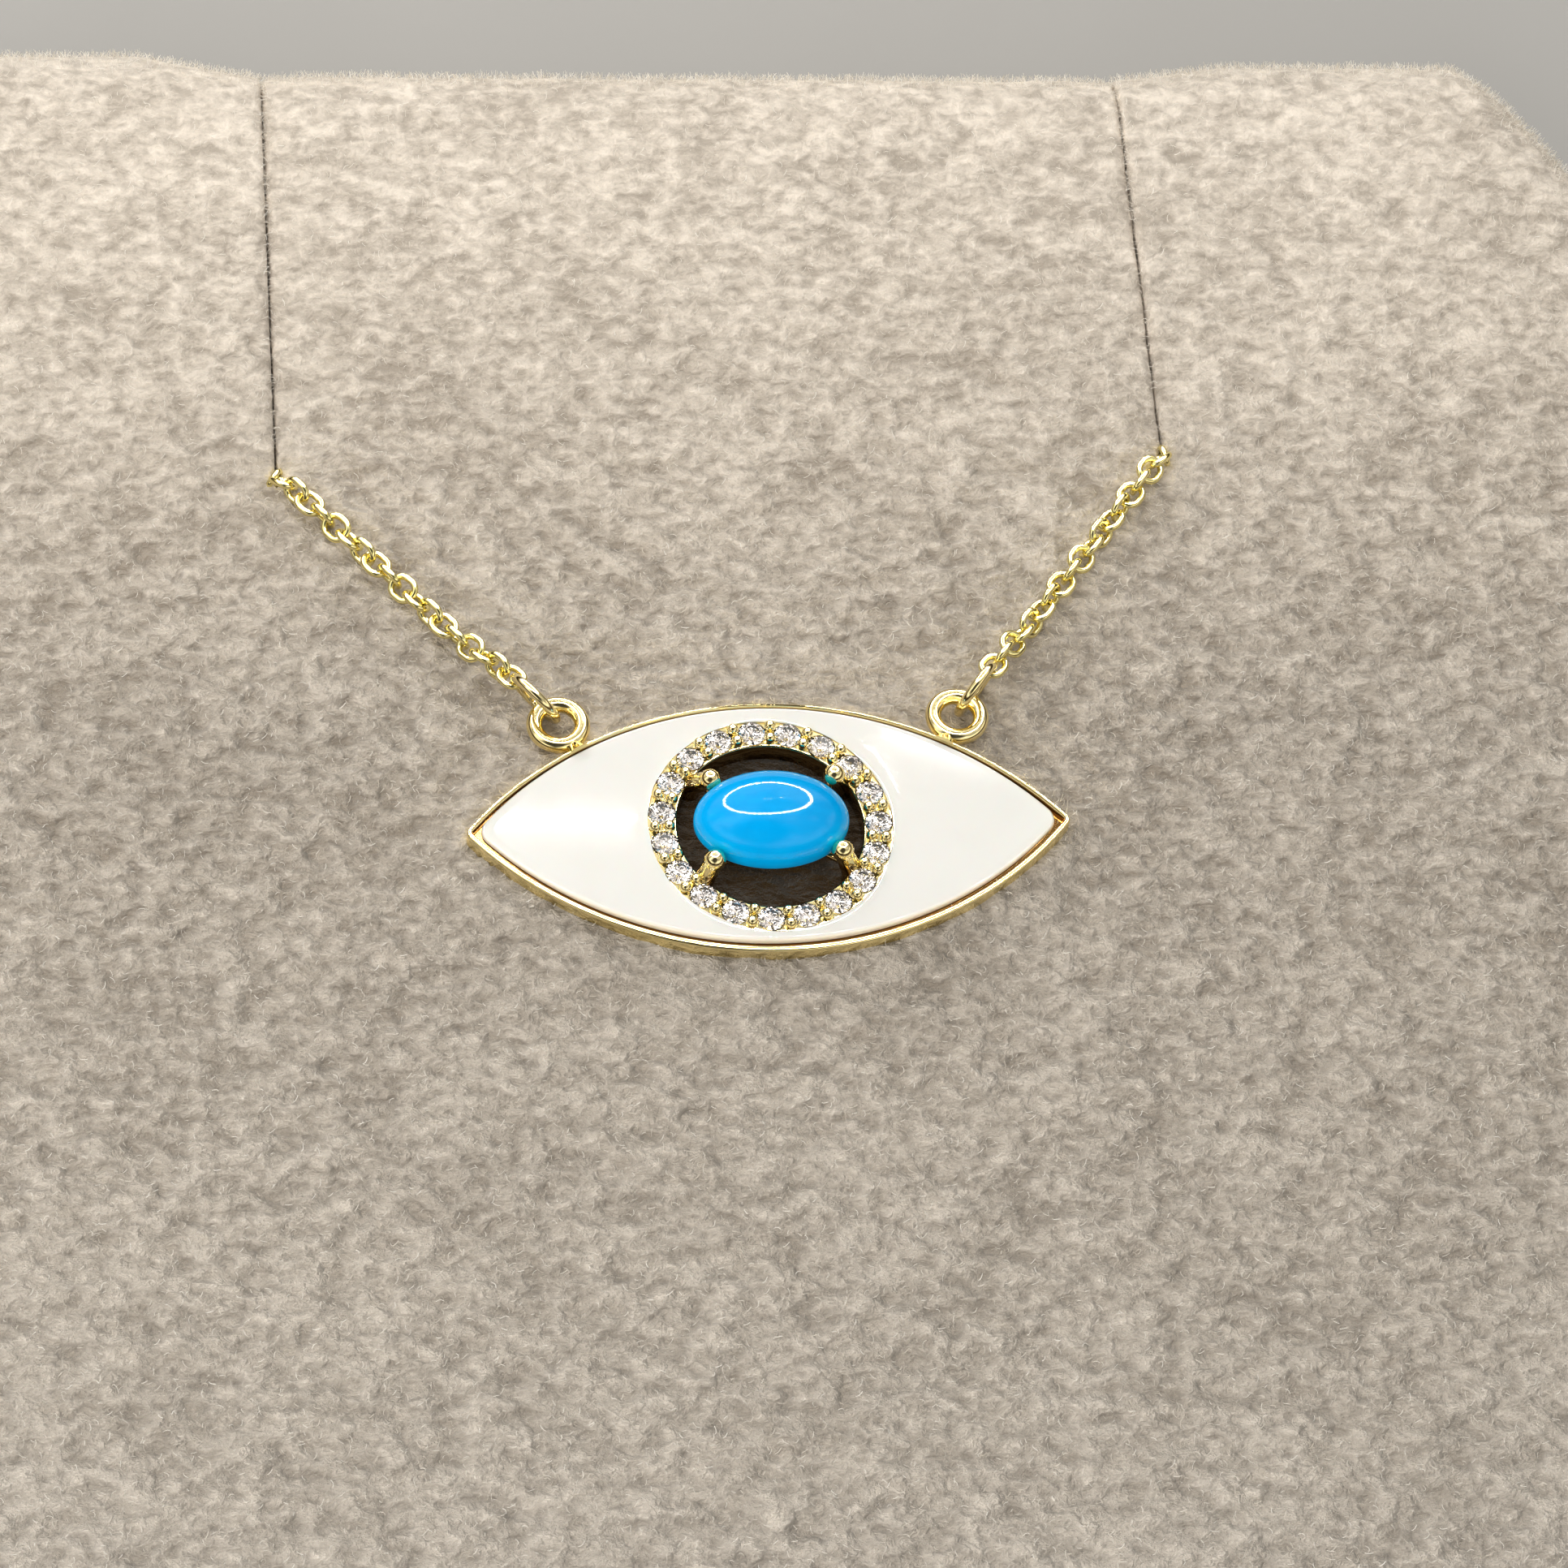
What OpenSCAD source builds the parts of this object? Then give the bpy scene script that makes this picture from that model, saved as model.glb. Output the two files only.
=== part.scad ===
// An eye-shaped gold pendant with white enamel, a halo of small brilliants and a turquoise
// cabochon, on a fine cable chain, laid on a slitted display pad. Millimetres, +Z up, +Y towards
// the pad's slitted end, origin under the middle of the pad.

/* [Eye] */
// Length of the eye from tip to tip
eye_len = 23.5; // [21:0.1:27]
// Height of the eye at its middle
eye_h = 11.3; // [10.8:0.1:13]
// Radius of the rounded tips
tip_r = 0.35; // [0.3:0.05:0.6]
// Height of the gold wall
wall_h = 1.2; // [1.1:0.05:1.6]
// Thickness of the gold wall
wall_t = 0.25; // [0.2:0.01:0.28]
// Thickness of the gold floor under the enamel
floor_t = 0.4; // [0.3:0.05:0.5]
// Turn of the eye on the pad, in degrees
eye_turn = 0.96; // [-3:0.01:3]
// Place of the eye's middle to the right of the pad's middle
eye_x = 0.5; // [-2:0.1:2]

/* [Enamel] */
// Groove left all round the enamel
enamel_groove = 0.14; // [0.1:0.01:0.2]
// Shift of the enamel towards the upper wall
enamel_shift = 0.1; // [0:0.01:0.1]
// Radius of the enamel's rounded tips
enamel_tip_r = 0.5; // [0.3:0.05:0.7]
// Radius of the dome of the enamel's face
enamel_dome_r = 150; // [120:5:300]

/* [Halo] */
// Outer radius of the halo ring
halo_r = 4.82; // [4.75:0.01:4.9]
// Radius of the hole through the eye
hole_r = 3.63; // [3.55:0.01:3.68]
// Number of small brilliants
halo_stones = 19; // [17:1:19]
// Diameter of a brilliant
brilliant_d = 1.04; // [0.9:0.01:1.06]
// Diameter of the gold beads between the brilliants
bead_d = 0.42; // [0.3:0.01:0.44]

/* [Cabochon] */
// Length of the cabochon
cab_len = 6; // [5.5:0.1:6.1]
// Width of the cabochon
cab_w = 4; // [3.7:0.1:4.1]
// Height of the cabochon's dome
cab_dome = 1.6; // [1.2:0.1:2]
// Height of the straight band under the dome
cab_band = 0.3; // [0.2:0.05:0.4]
// Diameter of the ball on each claw
claw_ball_d = 0.64; // [0.5:0.01:0.64]

/* [Loops and rings] */
// Outer diameter of the soldered loops
loop_d = 2.4; // [2.3:0.05:2.5]
// Wire of the soldered loops
loop_wire = 0.47; // [0.4:0.01:0.48]
// Outer diameter of the jump rings
jump_d = 2.4; // [2.38:0.01:2.42]
// Wire of the jump rings and of the end ring
jump_wire = 0.38; // [0.36:0.01:0.39]
// Outer diameter of the end ring at the clasp
end_ring_d = 2.86; // [2.84:0.01:2.9]
// Outer diameter of the clasp's ring
clasp_d = 5.4; // [5.2:0.1:6]
// Wire of the clasp's ring
clasp_wire = 0.9; // [0.8:0.05:0.9]

/* [Chain] */
// Length of a link
link_len = 1.4; // [1.38:0.01:1.42]
// Width of a link
link_w = 1.08; // [1.06:0.01:1.1]
// Wire of a link
link_wire = 0.21; // [0.2:0.01:0.23]
// Distance from link to link
link_pitch = 0.775; // [0.77:0.005:0.785]

/* [Display pad] */
// Width of the pad
pad_w = 82; // [80:1:90]
// Distance from the origin to the pad's plain end
pad_back = 40; // [36:1:44]
// Distance from the origin to the middle panel's slitted end
panel_end = 39.2; // [38:0.1:40]
// How far the two side flaps reach past the middle panel
flap_extra = 1; // [0:0.1:1.5]
// Thickness of the pad
pad_t = 10; // [8:0.5:12]
// Size of the clipped corners
pad_clip = 8; // [6:0.5:9]
// Radius of the pad's upper edge
pad_round = 3; // [2:0.5:4]
// Distance of each slit from the middle
slit_x = 18; // [17:0.1:19]
// Width of the slits
slit_w = 0.4; // [0.2:0.1:0.6]
// Where the left slit ends
slit_end_left = 17.1; // [16.5:0.1:18.5]
// Where the right slit ends
slit_end_right = 18.2; // [17:0.1:19]
// Radius of the hole at each slit's end
pad_hole_r = 1.15; // [1.05:0.05:1.2]

/* [Hidden] */
$fn = 96;
small_fn = 36;
seat_gap = 0.03;
rest_gap = 0.05;

// Eye outline: two arcs of one radius meet a round tip at each end
eye_half_h = eye_h / 2;
tip_x = eye_len / 2 - tip_r;
arc_r = (tip_x * tip_x + eye_half_h * eye_half_h - tip_r * tip_r) / (2 * (eye_half_h - tip_r));
arc_y = arc_r - eye_half_h;
enamel_inset = wall_t + enamel_groove;
dome_steps = 8;

// Brilliants
brilliant_r = brilliant_d / 2;
girdle_h = 0.03;
crown_h = 0.17;
pavilion_h = 0.44;
table_share = 0.56;
halo_mid_r = (halo_r + hole_r) / 2;
stone_step = 360 / halo_stones;
first_stone_angle = -94.6;
girdle_z = wall_h + 0.02;
bead_offset = 0.3;
bead_top_z = wall_h + 0.12;

// Cabochon and claws
cab_z = wall_h + 0.1;
claw_ball_r = claw_ball_d / 2;
claw_x = cab_len / 2 - 0.67;
claw_y = cab_w / 2 - 0.36;
claw_angle = atan2(claw_y, claw_x);
claw_ball_at = norm([claw_x, claw_y]);
claw_ball_z = cab_z + 0.65;
claw_foot_at = hole_r - 0.04;
claw_foot_z = 0.45;
claw_top_r = 0.23;
claw_foot_r = 0.26;
gallery_in = 0.38;
gallery_out = 0.14;
gallery_h = 0.26;
gallery_z = cab_z - seat_gap - gallery_h;
strut_r = 0.12;

// Loops, jump rings and where they lie
loop_mid_r = (loop_d - loop_wire) / 2;
loop_x = 7.86;
loop_y = 5.13;
loop_z = 0.85;
jump_mid_r = (jump_d - jump_wire) / 2;
jump_reach = 1.3;
jump_height = 1.25;
jump_lean = [-20, 10];
eye_z = pad_t + rest_gap;

// Sides: 0 is left and 1 is right
side_sign = [-1, 1];
slit_end = [slit_end_left, slit_end_right];

// Clasp and end ring at the far middle of the loop
far_y = 141;
clasp_x = 0.6;
clasp_mid_r = (clasp_d - clasp_wire) / 2;
clasp_lift = 0.48;
eye_ring_mid_r = 0.75;
eye_ring_wire = 0.4;
eye_ring_x = clasp_d / 2 + 0.75;
eye_ring_z = 0.56;
knob_r = 0.4;
end_ring_mid_r = (end_ring_d - jump_wire) / 2;
end_ring_x = clasp_x - clasp_mid_r;
end_ring_z = end_ring_d / 2 + 0.02;

// Chain: the hidden stretch as a tube, through the pad, under it and round behind it
tube_r = 0.55;
tube_sides = 8;
tube_rings = 40;
link_fn = 12;
link_wire_fn = 6;
groove_h = 1.9;
chain_z = 0.6;

// Pad: its lower edge, and the thickness of the layers that its rounded form is hulled from
pad_foot_round = 1;
slab_layer = 0.1;

function brilliant_name(i) = str("brilliant_", i < 10 ? "0" : "", i);

// A point of the eye's own frame in the pad's frame
function on_pad(p) = [
    p.x * cos(eye_turn) - p.y * sin(eye_turn) + eye_x,
    p.x * sin(eye_turn) + p.y * cos(eye_turn),
    p.z + eye_z
];

// Where a loop sits, and the way its strand runs from there
function loop_at(side) = on_pad([side_sign[side] * loop_x, loop_y, loop_z]);
function strand_angle(side) = atan2(
    slit_end[side] - loop_at(side).y, side_sign[side] * slit_x - loop_at(side).x);
function strand_point(side, along, z) = [
    loop_at(side).x + along * cos(strand_angle(side)),
    loop_at(side).y + along * sin(strand_angle(side)),
    z
];

// Front strand: from the jump ring down to the pad and on to the slit's end. Each link is rolled
// a little more than a quarter turn from the last
link_roll = [108, 103];
first_link_at = jump_reach + jump_mid_r + 0.2;
function front_route(side) = [
    strand_point(side, first_link_at, pad_t + jump_height),
    strand_point(side, first_link_at + 1, pad_t + jump_height - 0.15),
    strand_point(side, first_link_at + 2.5, pad_t + 0.7),
    strand_point(side, first_link_at + 4, pad_t + chain_z),
    strand_point(side, first_link_at + 11.8, pad_t + chain_z),
    strand_point(side, first_link_at + 12.6, pad_t + 0.54),
    strand_point(side, first_link_at + 13.2, pad_t + 0.3),
    strand_point(side, first_link_at + 13.7, pad_t - 0.15)
];

// Hidden stretch on the right, and mirrored on the left: x, y, z
function back_route(side) = [for (p = concat(
    [[18, slit_end[side], 9.2], [18, slit_end[side], 5.5], [18, slit_end[side], 2.6],
     [18.5, slit_end[side], 1.1], [20, slit_end[side], chain_z], [26, slit_end[side], chain_z],
     [34, slit_end[side], chain_z], [41, slit_end[side] + 0.4, chain_z]],
    [for (q = [[45.5, 20.5], [48.5, 26], [50, 35], [50.5, 45], [50.5, 57], [50, 69], [48.5, 81],
     [46, 92.5], [42, 104], [36.5, 114.5], [29.5, 123.5], [21.5, 131], [13, 137]])
     [q.x, q.y, chain_z]],
    [[side == 1 ? 7.5 : 6.5, 140.2, side == 1 ? chain_z : 0.9],
     [side == 1 ? clasp_x + eye_ring_x + eye_ring_mid_r + 0.3
                : end_ring_mid_r + 0.31 - end_ring_x, far_y, side == 1 ? chain_z : 1.45]]
)) [side_sign[side] * p.x, p.y, p.z]];

// Length along a route, and the point and heading at a length
function seg(r, i) = norm(r[i + 1] - r[i]);
function run(r, n) = n <= 0 ? 0 : run(r, n - 1) + seg(r, n - 1);
function at_length(r, s, i = 0) =
    s <= seg(r, i) || i == len(r) - 2
        ? r[i] + (r[i + 1] - r[i]) * s / seg(r, i)
        : at_length(r, s - seg(r, i), i + 1);
function heading(r, s) = let (h = 0.35, d = at_length(r, s + h) - at_length(r, max(s - h, 0)))
    d / norm(d);

// A smooth curve through a route's points
function smooth(r, t) = let (
    n = len(r) - 1,
    i = min(floor(t), n - 1),
    f = t - i,
    a = r[max(i - 1, 0)], b = r[i], c = r[i + 1], d = r[min(i + 2, n)]
) 0.5 * (2 * b + (c - a) * f + (2 * a - 5 * b + 4 * c - d) * f * f
    + (3 * b - a - 3 * c + d) * f * f * f);

module place_eye() {
    translate([eye_x, 0, eye_z]) rotate([0, 0, eye_turn]) children();
}

// The eye's outline, drawn in by an inset, with tips of a given radius
module eye_2d(inset, tip) {
    r = arc_r - inset;
    x = sqrt((r - tip) * (r - tip) - arc_y * arc_y);
    meet_x = r * x / (r - tip);
    intersection() {
        translate([0, arc_y]) circle(r = r);
        translate([0, -arc_y]) circle(r = r);
        square([2 * meet_x, eye_h], center = true);
    }
    for (s = [-1, 1]) translate([s * x, 0]) circle(r = tip);
}

module torus(mid_r, wire) {
    rotate_extrude() translate([mid_r, 0]) circle(d = wire, $fn = small_fn);
}

module halo_place(i) {
    rotate([0, 0, first_stone_angle + (i - 1) * stone_step]) translate([halo_mid_r, 0, 0]) children();
}

module brilliant_shape() {
    hull() {
        cylinder(r = brilliant_r, h = girdle_h, $fn = 16);
        rotate([0, 0, 22.5]) cylinder(r = brilliant_r * table_share, h = girdle_h + crown_h, $fn = 8);
        translate([0, 0, -pavilion_h]) cylinder(r = 0.02, h = 0.02, $fn = 8);
    }
}

module brilliant(i) {
    color([0.9, 0.92, 0.95, 0.7]) place_eye() halo_place(i)
        translate([0, 0, girdle_z]) brilliant_shape();
}

module halo_ring() {
    difference() {
        cylinder(r = halo_r, h = wall_h);
        translate([0, 0, -1]) cylinder(r = hole_r, h = wall_h + 2);
        for (i = [1 : halo_stones]) halo_place(i)
            translate([0, 0, girdle_z - pavilion_h - 0.08])
                cylinder(r1 = 0.05, r2 = brilliant_r + 0.045, h = pavilion_h + 0.08, $fn = small_fn);
    }
    for (i = [1 : halo_stones]) rotate([0, 0, stone_step / 2]) halo_place(i)
        for (s = [-1, 1]) translate([s * bead_offset, 0, 0]) {
            translate([0, 0, wall_h - 0.5]) cylinder(d = bead_d, h = bead_top_z - wall_h + 0.5,
                $fn = small_fn);
            translate([0, 0, bead_top_z]) sphere(d = bead_d, $fn = small_fn);
        }
}

module claw(sx, sy) {
    lean = atan2(claw_foot_at - claw_ball_at, claw_ball_z - claw_foot_z);
    mirror([sx > 0 ? 0 : 1, 0, 0]) mirror([0, sy > 0 ? 0 : 1, 0]) rotate([0, 0, claw_angle]) {
        translate([claw_ball_at, 0, claw_ball_z]) sphere(r = claw_ball_r, $fn = small_fn);
        translate([claw_foot_at, 0, claw_foot_z]) rotate([0, -lean, 0])
            cylinder(r1 = claw_foot_r, r2 = claw_top_r, $fn = small_fn,
                h = norm([claw_foot_at - claw_ball_at, claw_ball_z - claw_foot_z]));
        translate([claw_ball_at - 0.55, 0, gallery_z + gallery_h / 2]) rotate([0, 90, 0])
            cylinder(r = strut_r, h = hole_r - claw_ball_at + 0.6, $fn = small_fn);
    }
}

// An ellipse by its half axes
module ellipse_2d(a, b) {
    polygon([for (i = [0 : 63]) [a * cos(i * 360 / 64), b * sin(i * 360 / 64)]]);
}

module gallery() {
    translate([0, 0, gallery_z]) linear_extrude(gallery_h) difference() {
        ellipse_2d(cab_len / 2 - gallery_out, cab_w / 2 - gallery_out);
        ellipse_2d(cab_len / 2 - gallery_in, cab_w / 2 - gallery_in);
    }
}

// A loop lies flat beside the wall, soldered to it by a short neck
module soldered_loop(side) {
    from_middle = norm([loop_x, loop_y + arc_y]);
    mirror([side == 0 ? 1 : 0, 0, 0]) {
        translate([loop_x, loop_y, loop_z]) torus(loop_mid_r, loop_wire);
        translate([0, -arc_y, loop_z]) rotate([0, 0, atan2(loop_y + arc_y, loop_x)])
            translate([arc_r - wall_t / 2, 0, 0]) rotate([0, 90, 0])
                cylinder(r = 0.3, h = from_middle - loop_mid_r - arc_r + wall_t / 2, $fn = small_fn);
    }
}

module pendant_frame() {
    color("gold") place_eye() {
        linear_extrude(wall_h) difference() {
            eye_2d(0, tip_r);
            eye_2d(wall_t, tip_r - wall_t);
        }
        linear_extrude(floor_t) difference() {
            eye_2d(wall_t / 2, tip_r - wall_t / 2);
            circle(r = (halo_r + hole_r) / 2);
        }
        halo_ring();
        for (sx = [-1, 1], sy = [-1, 1]) claw(sx, sy);
        gallery();
        for (side = [0, 1]) soldered_loop(side);
    }
}

module enamel() {
    color("white") place_eye() intersection() {
        translate([0, enamel_shift, floor_t + seat_gap]) linear_extrude(wall_h) difference() {
            eye_2d(enamel_inset, enamel_tip_r);
            translate([0, -enamel_shift]) circle(r = halo_r + seat_gap);
        }
        rotate_extrude() polygon(concat([[0, 0], [eye_len / 2, 0]],
            [for (i = [dome_steps : -1 : 0]) let (x = i * eye_len / 2 / dome_steps)
             [x, wall_h + seat_gap - enamel_dome_r + sqrt(enamel_dome_r * enamel_dome_r - x * x)]]));
    }
}

module turquoise() {
    color("deepskyblue") place_eye() translate([0, 0, cab_z]) scale([1, cab_w / cab_len, 1]) {
        cylinder(d = cab_len, h = cab_band);
        translate([0, 0, cab_band]) intersection() {
            scale([1, 1, cab_dome / (cab_len / 2)]) sphere(d = cab_len);
            cylinder(d = cab_len + 1, h = cab_dome + 1);
        }
    }
}

// A jump ring stands on the pad, through its loop and the first link
module jump_ring(side) {
    color("gold") translate(strand_point(side, jump_reach, pad_t + jump_height))
        rotate([0, 0, strand_angle(side)]) rotate([90 + jump_lean[side], 0, 0])
            torus(jump_mid_r, jump_wire);
}

// One link, lying along X in the XY plane: two half rings a short way apart
module chain_link() {
    b = (link_w - link_wire) / 2;
    apart = (link_len - link_w) / 2;
    w = link_wire / 2;
    ring = [for (i = [0 : link_fn - 1]) for (j = [0 : link_wire_fn - 1])
        let (t = (i + 0.5) * 360 / link_fn, q = j * 360 / link_wire_fn, r = b + w * cos(q))
        [r * cos(t) + apart * sign(cos(t)), r * sin(t), w * sin(q)]];
    faces = [for (i = [0 : link_fn - 1]) for (j = [0 : link_wire_fn - 1])
        let (i2 = (i + 1) % link_fn, j2 = (j + 1) % link_wire_fn)
        [i * link_wire_fn + j, i * link_wire_fn + j2, i2 * link_wire_fn + j2, i2 * link_wire_fn + j]];
    polyhedron(points = ring, faces = faces);
}

module chain_front(side) {
    route = front_route(side);
    total = run(route, len(route) - 1);
    color("gold") for (k = [0 : floor(total / link_pitch)]) {
        s = k * link_pitch;
        d = heading(route, s);
        translate(at_length(route, s)) rotate([0, -asin(d.z), atan2(d.y, d.x)])
            rotate([k * link_roll[side], 0, 0]) chain_link();
    }
}

// The hidden stretch of chain as one swept tube
module chain_back(side) {
    route = back_route(side);
    last = len(route) - 1;
    step = last / (tube_rings - 1);
    rings = [for (k = [0 : tube_rings - 1])
        let (t = k * step, p = smooth(route, t),
             d0 = smooth(route, min(t + 0.05, last)) - smooth(route, max(t - 0.05, 0)),
             d = d0 / norm(d0),
             s = [d.y, -d.x, 0], u = norm(s) < 0.05 ? [0, 1, 0] : s / norm(s), v = cross(u, d))
        for (j = [0 : tube_sides - 1]) let (q = (j + 0.5) * 360 / tube_sides)
            p + tube_r * (cos(q) * u + sin(q) * v)];
    n = tube_sides;
    sides = [for (k = [0 : tube_rings - 2]) for (j = [0 : n - 1])
        [k * n + j, (k + 1) * n + j, (k + 1) * n + (j + 1) % n, k * n + (j + 1) % n]];
    caps = [[for (j = [0 : n - 1]) j], [for (j = [n - 1 : -1 : 0]) (tube_rings - 1) * n + j]];
    color("gold") polyhedron(points = rings, faces = concat(sides, caps));
}

module end_ring() {
    color("gold") translate([end_ring_x, far_y, end_ring_z]) rotate([90, 0, 0])
        torus(end_ring_mid_r, jump_wire);
}

module clasp() {
    tilt = asin(clasp_lift / (2 * clasp_mid_r));
    color("gold") translate([clasp_x, far_y, 0]) {
        translate([0, 0, clasp_wire / 2 + 0.02 + clasp_lift / 2]) rotate([0, tilt, 0]) {
            torus(clasp_mid_r, clasp_wire);
            rotate([0, 0, 60]) translate([clasp_d / 2 - 0.1, 0, 0]) sphere(r = knob_r, $fn = small_fn);
        }
        translate([eye_ring_x, 0, eye_ring_z]) torus(eye_ring_mid_r, eye_ring_wire);
    }
}

// Outline of a rounded slab with clipped corners, drawn in by an inset
module slab_2d(x0, x1, y0, y1, clips, inset) {
    c = pad_clip;
    offset(r = 1, $fn = 24) offset(delta = -1 - inset) polygon([
        [x0 + clips[0] * c, y0], [x1 - clips[1] * c, y0], [x1, y0 + clips[1] * c],
        [x1, y1 - clips[2] * c], [x1 - clips[2] * c, y1], [x0 + clips[3] * c, y1],
        [x0, y1 - clips[3] * c], [x0, y0 + clips[0] * c]
    ]);
}

module slab(x0, x1, y0, y1, clips) {
    hull() {
        linear_extrude(slab_layer) slab_2d(x0, x1, y0, y1, clips, pad_foot_round);
        translate([0, 0, pad_foot_round]) linear_extrude(slab_layer)
            slab_2d(x0, x1, y0, y1, clips, 0);
        for (a = [0 : 22.5 : 90])
            translate([0, 0, pad_t - slab_layer - pad_round * (1 - sin(a))]) linear_extrude(slab_layer)
                slab_2d(x0, x1, y0, y1, clips, pad_round * (1 - cos(a)));
    }
}

module display_pad() {
    half = pad_w / 2;
    color("tan") difference() {
        union() {
            slab(-half, half, -pad_back, panel_end, [1, 1, 1, 1]);
            slab(-half, -slit_x, 0, panel_end + flap_extra, [0, 0, 0, 1]);
            slab(slit_x, half, 0, panel_end + flap_extra, [0, 0, 1, 0]);
        }
        for (side = [0, 1]) {
            x = side_sign[side] * slit_x;
            translate([x - slit_w / 2, slit_end[side], -1]) cube([slit_w, 30, pad_t + 2]);
            translate([x, slit_end[side], -1]) cylinder(r = pad_hole_r, h = pad_t + 2, $fn = small_fn);
            mirror([side == 0 ? 1 : 0, 0, 0])
                translate([slit_x - pad_hole_r, slit_end[side] - pad_hole_r, -1])
                    cube([pad_w / 2, 2 * pad_hole_r + 0.4, groove_h + 1]);
        }
    }
}

pendant_frame();
enamel();
turquoise();
for (i = [1 : halo_stones]) brilliant(i);
jump_ring(0);  // jump_ring_left
jump_ring(1);  // jump_ring_right
chain_front(0);  // chain_front_left
chain_front(1);  // chain_front_right
chain_back(0);  // chain_back_left
chain_back(1);  // chain_back_right
end_ring();
clasp();
display_pad();
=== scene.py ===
# %% [markdown]
# # A gold eye pendant on its display pad
# A jeweller makes this pendant from a gold tray in the shape of an eye. White enamel fills the
# tray, small brilliants ring a hole in its middle, and four claws hold a turquoise over the hole.
# Each cell below makes one piece or one finish. All lengths are thought of in millimetres, because
# a jeweller does, and are made metres at the last moment.

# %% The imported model
from math import asin, atan2, copysign, cos, exp, hypot, log1p, pi, radians, sin, sqrt
import bpy
import bmesh
import numpy as np
from mathutils import Matrix, Vector, noise


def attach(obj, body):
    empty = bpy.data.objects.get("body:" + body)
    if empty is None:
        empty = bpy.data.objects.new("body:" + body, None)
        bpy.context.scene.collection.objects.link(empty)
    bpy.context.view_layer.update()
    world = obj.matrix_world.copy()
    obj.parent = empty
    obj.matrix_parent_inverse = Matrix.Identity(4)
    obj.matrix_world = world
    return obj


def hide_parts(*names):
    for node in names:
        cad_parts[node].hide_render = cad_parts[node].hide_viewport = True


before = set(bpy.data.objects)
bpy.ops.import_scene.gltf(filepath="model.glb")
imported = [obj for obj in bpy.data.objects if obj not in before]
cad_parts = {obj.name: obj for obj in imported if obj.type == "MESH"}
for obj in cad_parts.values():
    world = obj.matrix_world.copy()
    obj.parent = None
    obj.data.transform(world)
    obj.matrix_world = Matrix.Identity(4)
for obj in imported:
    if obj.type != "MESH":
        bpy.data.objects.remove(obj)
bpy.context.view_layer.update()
MM = 0.001
scene = bpy.context.scene

# %% [markdown]
# ## Camera
# The photograph was taken from in front and above, with the camera turned a little on its own
# axis. Its place was worked out from the eye, the round halo and the two slits, so the pieces
# fall where they do in the picture. A long lens keeps the eye's two ends alike.


# %% Camera
def add_object(name, data):
    """Put a camera, a lamp, a curve or a mesh into the scene."""
    made = bpy.data.objects.new(name, data)
    scene.collection.objects.link(made)
    return made


lens = bpy.data.cameras.new("camera")
lens.lens, lens.sensor_width, lens.clip_start, lens.clip_end = 150, 36, 0.01, 10
camera = add_object("camera", lens)
scene.camera = camera
AZIMUTH, ELEVATION, ROLL, DISTANCE = -12.86, 57.05, 10.36, 253.6
LOOKS_AT = Vector((1.161, 1.893, 11.25))
az, el, turn = [radians(angle) for angle in (AZIMUTH, ELEVATION, ROLL)]
forward = Vector((-sin(az) * cos(el), cos(az) * cos(el), -sin(el)))
level = forward.cross(Vector((0, 0, 1))).normalized()
right = level * cos(turn) + level.cross(forward) * sin(turn)
upward = right.cross(forward)
camera.matrix_world = Matrix([
    (right[k], upward[k], -forward[k], (LOOKS_AT[k] - forward[k] * DISTANCE) * MM)
    for k in range(3)] + [(0, 0, 0, 1)])
print("Camera at, mm:", [round(v / MM, 1) for v in camera.matrix_world.translation])

# %% [markdown]
# ## Helpers for meshes
# A mesh is a list of points and a list of faces. Most metal pieces here are rings of points
# joined one to the next, which is called a loft. A finished piece is put through the same steps:
# its normals are pointed outwards, sharp edges are marked, and it rides on the one body.

# %% Points and faces
EYE_X, EYE_Z, EYE_TURN = 0.5, 10.05, radians(0.96)
EYE = (Matrix.Translation(Vector((EYE_X, 0, EYE_Z)) * MM)
       @ Matrix.Rotation(EYE_TURN, 4, "Z") @ Matrix.Scale(MM, 4))
EYE_FROM_METRES = EYE @ Matrix.Scale(1 / MM, 4)
PAD = Matrix.Scale(MM, 4)


def full_turn(count):
    """Angles evenly round a circle."""
    return np.linspace(0, 2 * pi, count, endpoint=False)


def level_ring(wide, deep, z, sides):
    """A level ring of points: round, or oval where it's less deep than wide."""
    return [(wide * cos(a), deep * sin(a), z) for a in full_turn(sides)]


def loft(rings, close_path=False):
    """Rings of points, all of one length, joined one to the next."""
    n, m = len(rings[0]), len(rings)
    faces = [(i * n + j, i * n + (j + 1) % n, (i + 1) % m * n + (j + 1) % n, (i + 1) % m * n + j)
             for i in range(m if close_path else m - 1) for j in range(n)]
    if not close_path:
        faces += [tuple(reversed(range(n))), tuple(range((m - 1) * n, m * n))]
    return [tuple(p) for ring in rings for p in ring], faces


def combine(*parts):
    points, faces = [], []
    for more_points, more_faces in parts:
        faces += [tuple(i + len(points) for i in face) for face in more_faces]
        points += more_points
    return points, faces


def moved(part, matrix):
    return [tuple(matrix @ Vector(p)) for p in part[0]], part[1]


def shifted(part, *offset):
    return moved(part, Matrix.Translation(offset))


# %% Pieces
def mark_edges(mesh, angle):
    mesh.shade_smooth()
    mesh.set_sharp_from_angle(angle=radians(angle))


def make_piece(name, part, place=PAD, sharp=35):
    mesh = bpy.data.meshes.new(name)
    mesh.from_pydata([place @ Vector(p) for p in part[0]], [], part[1])
    shaped = bmesh.new()
    shaped.from_mesh(mesh)
    bmesh.ops.remove_doubles(shaped, verts=shaped.verts, dist=1e-7)
    bmesh.ops.recalc_face_normals(shaped, faces=shaped.faces)
    shaped.to_mesh(mesh)
    shaped.free()
    mark_edges(mesh, sharp)
    return add_object(name, mesh)


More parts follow.
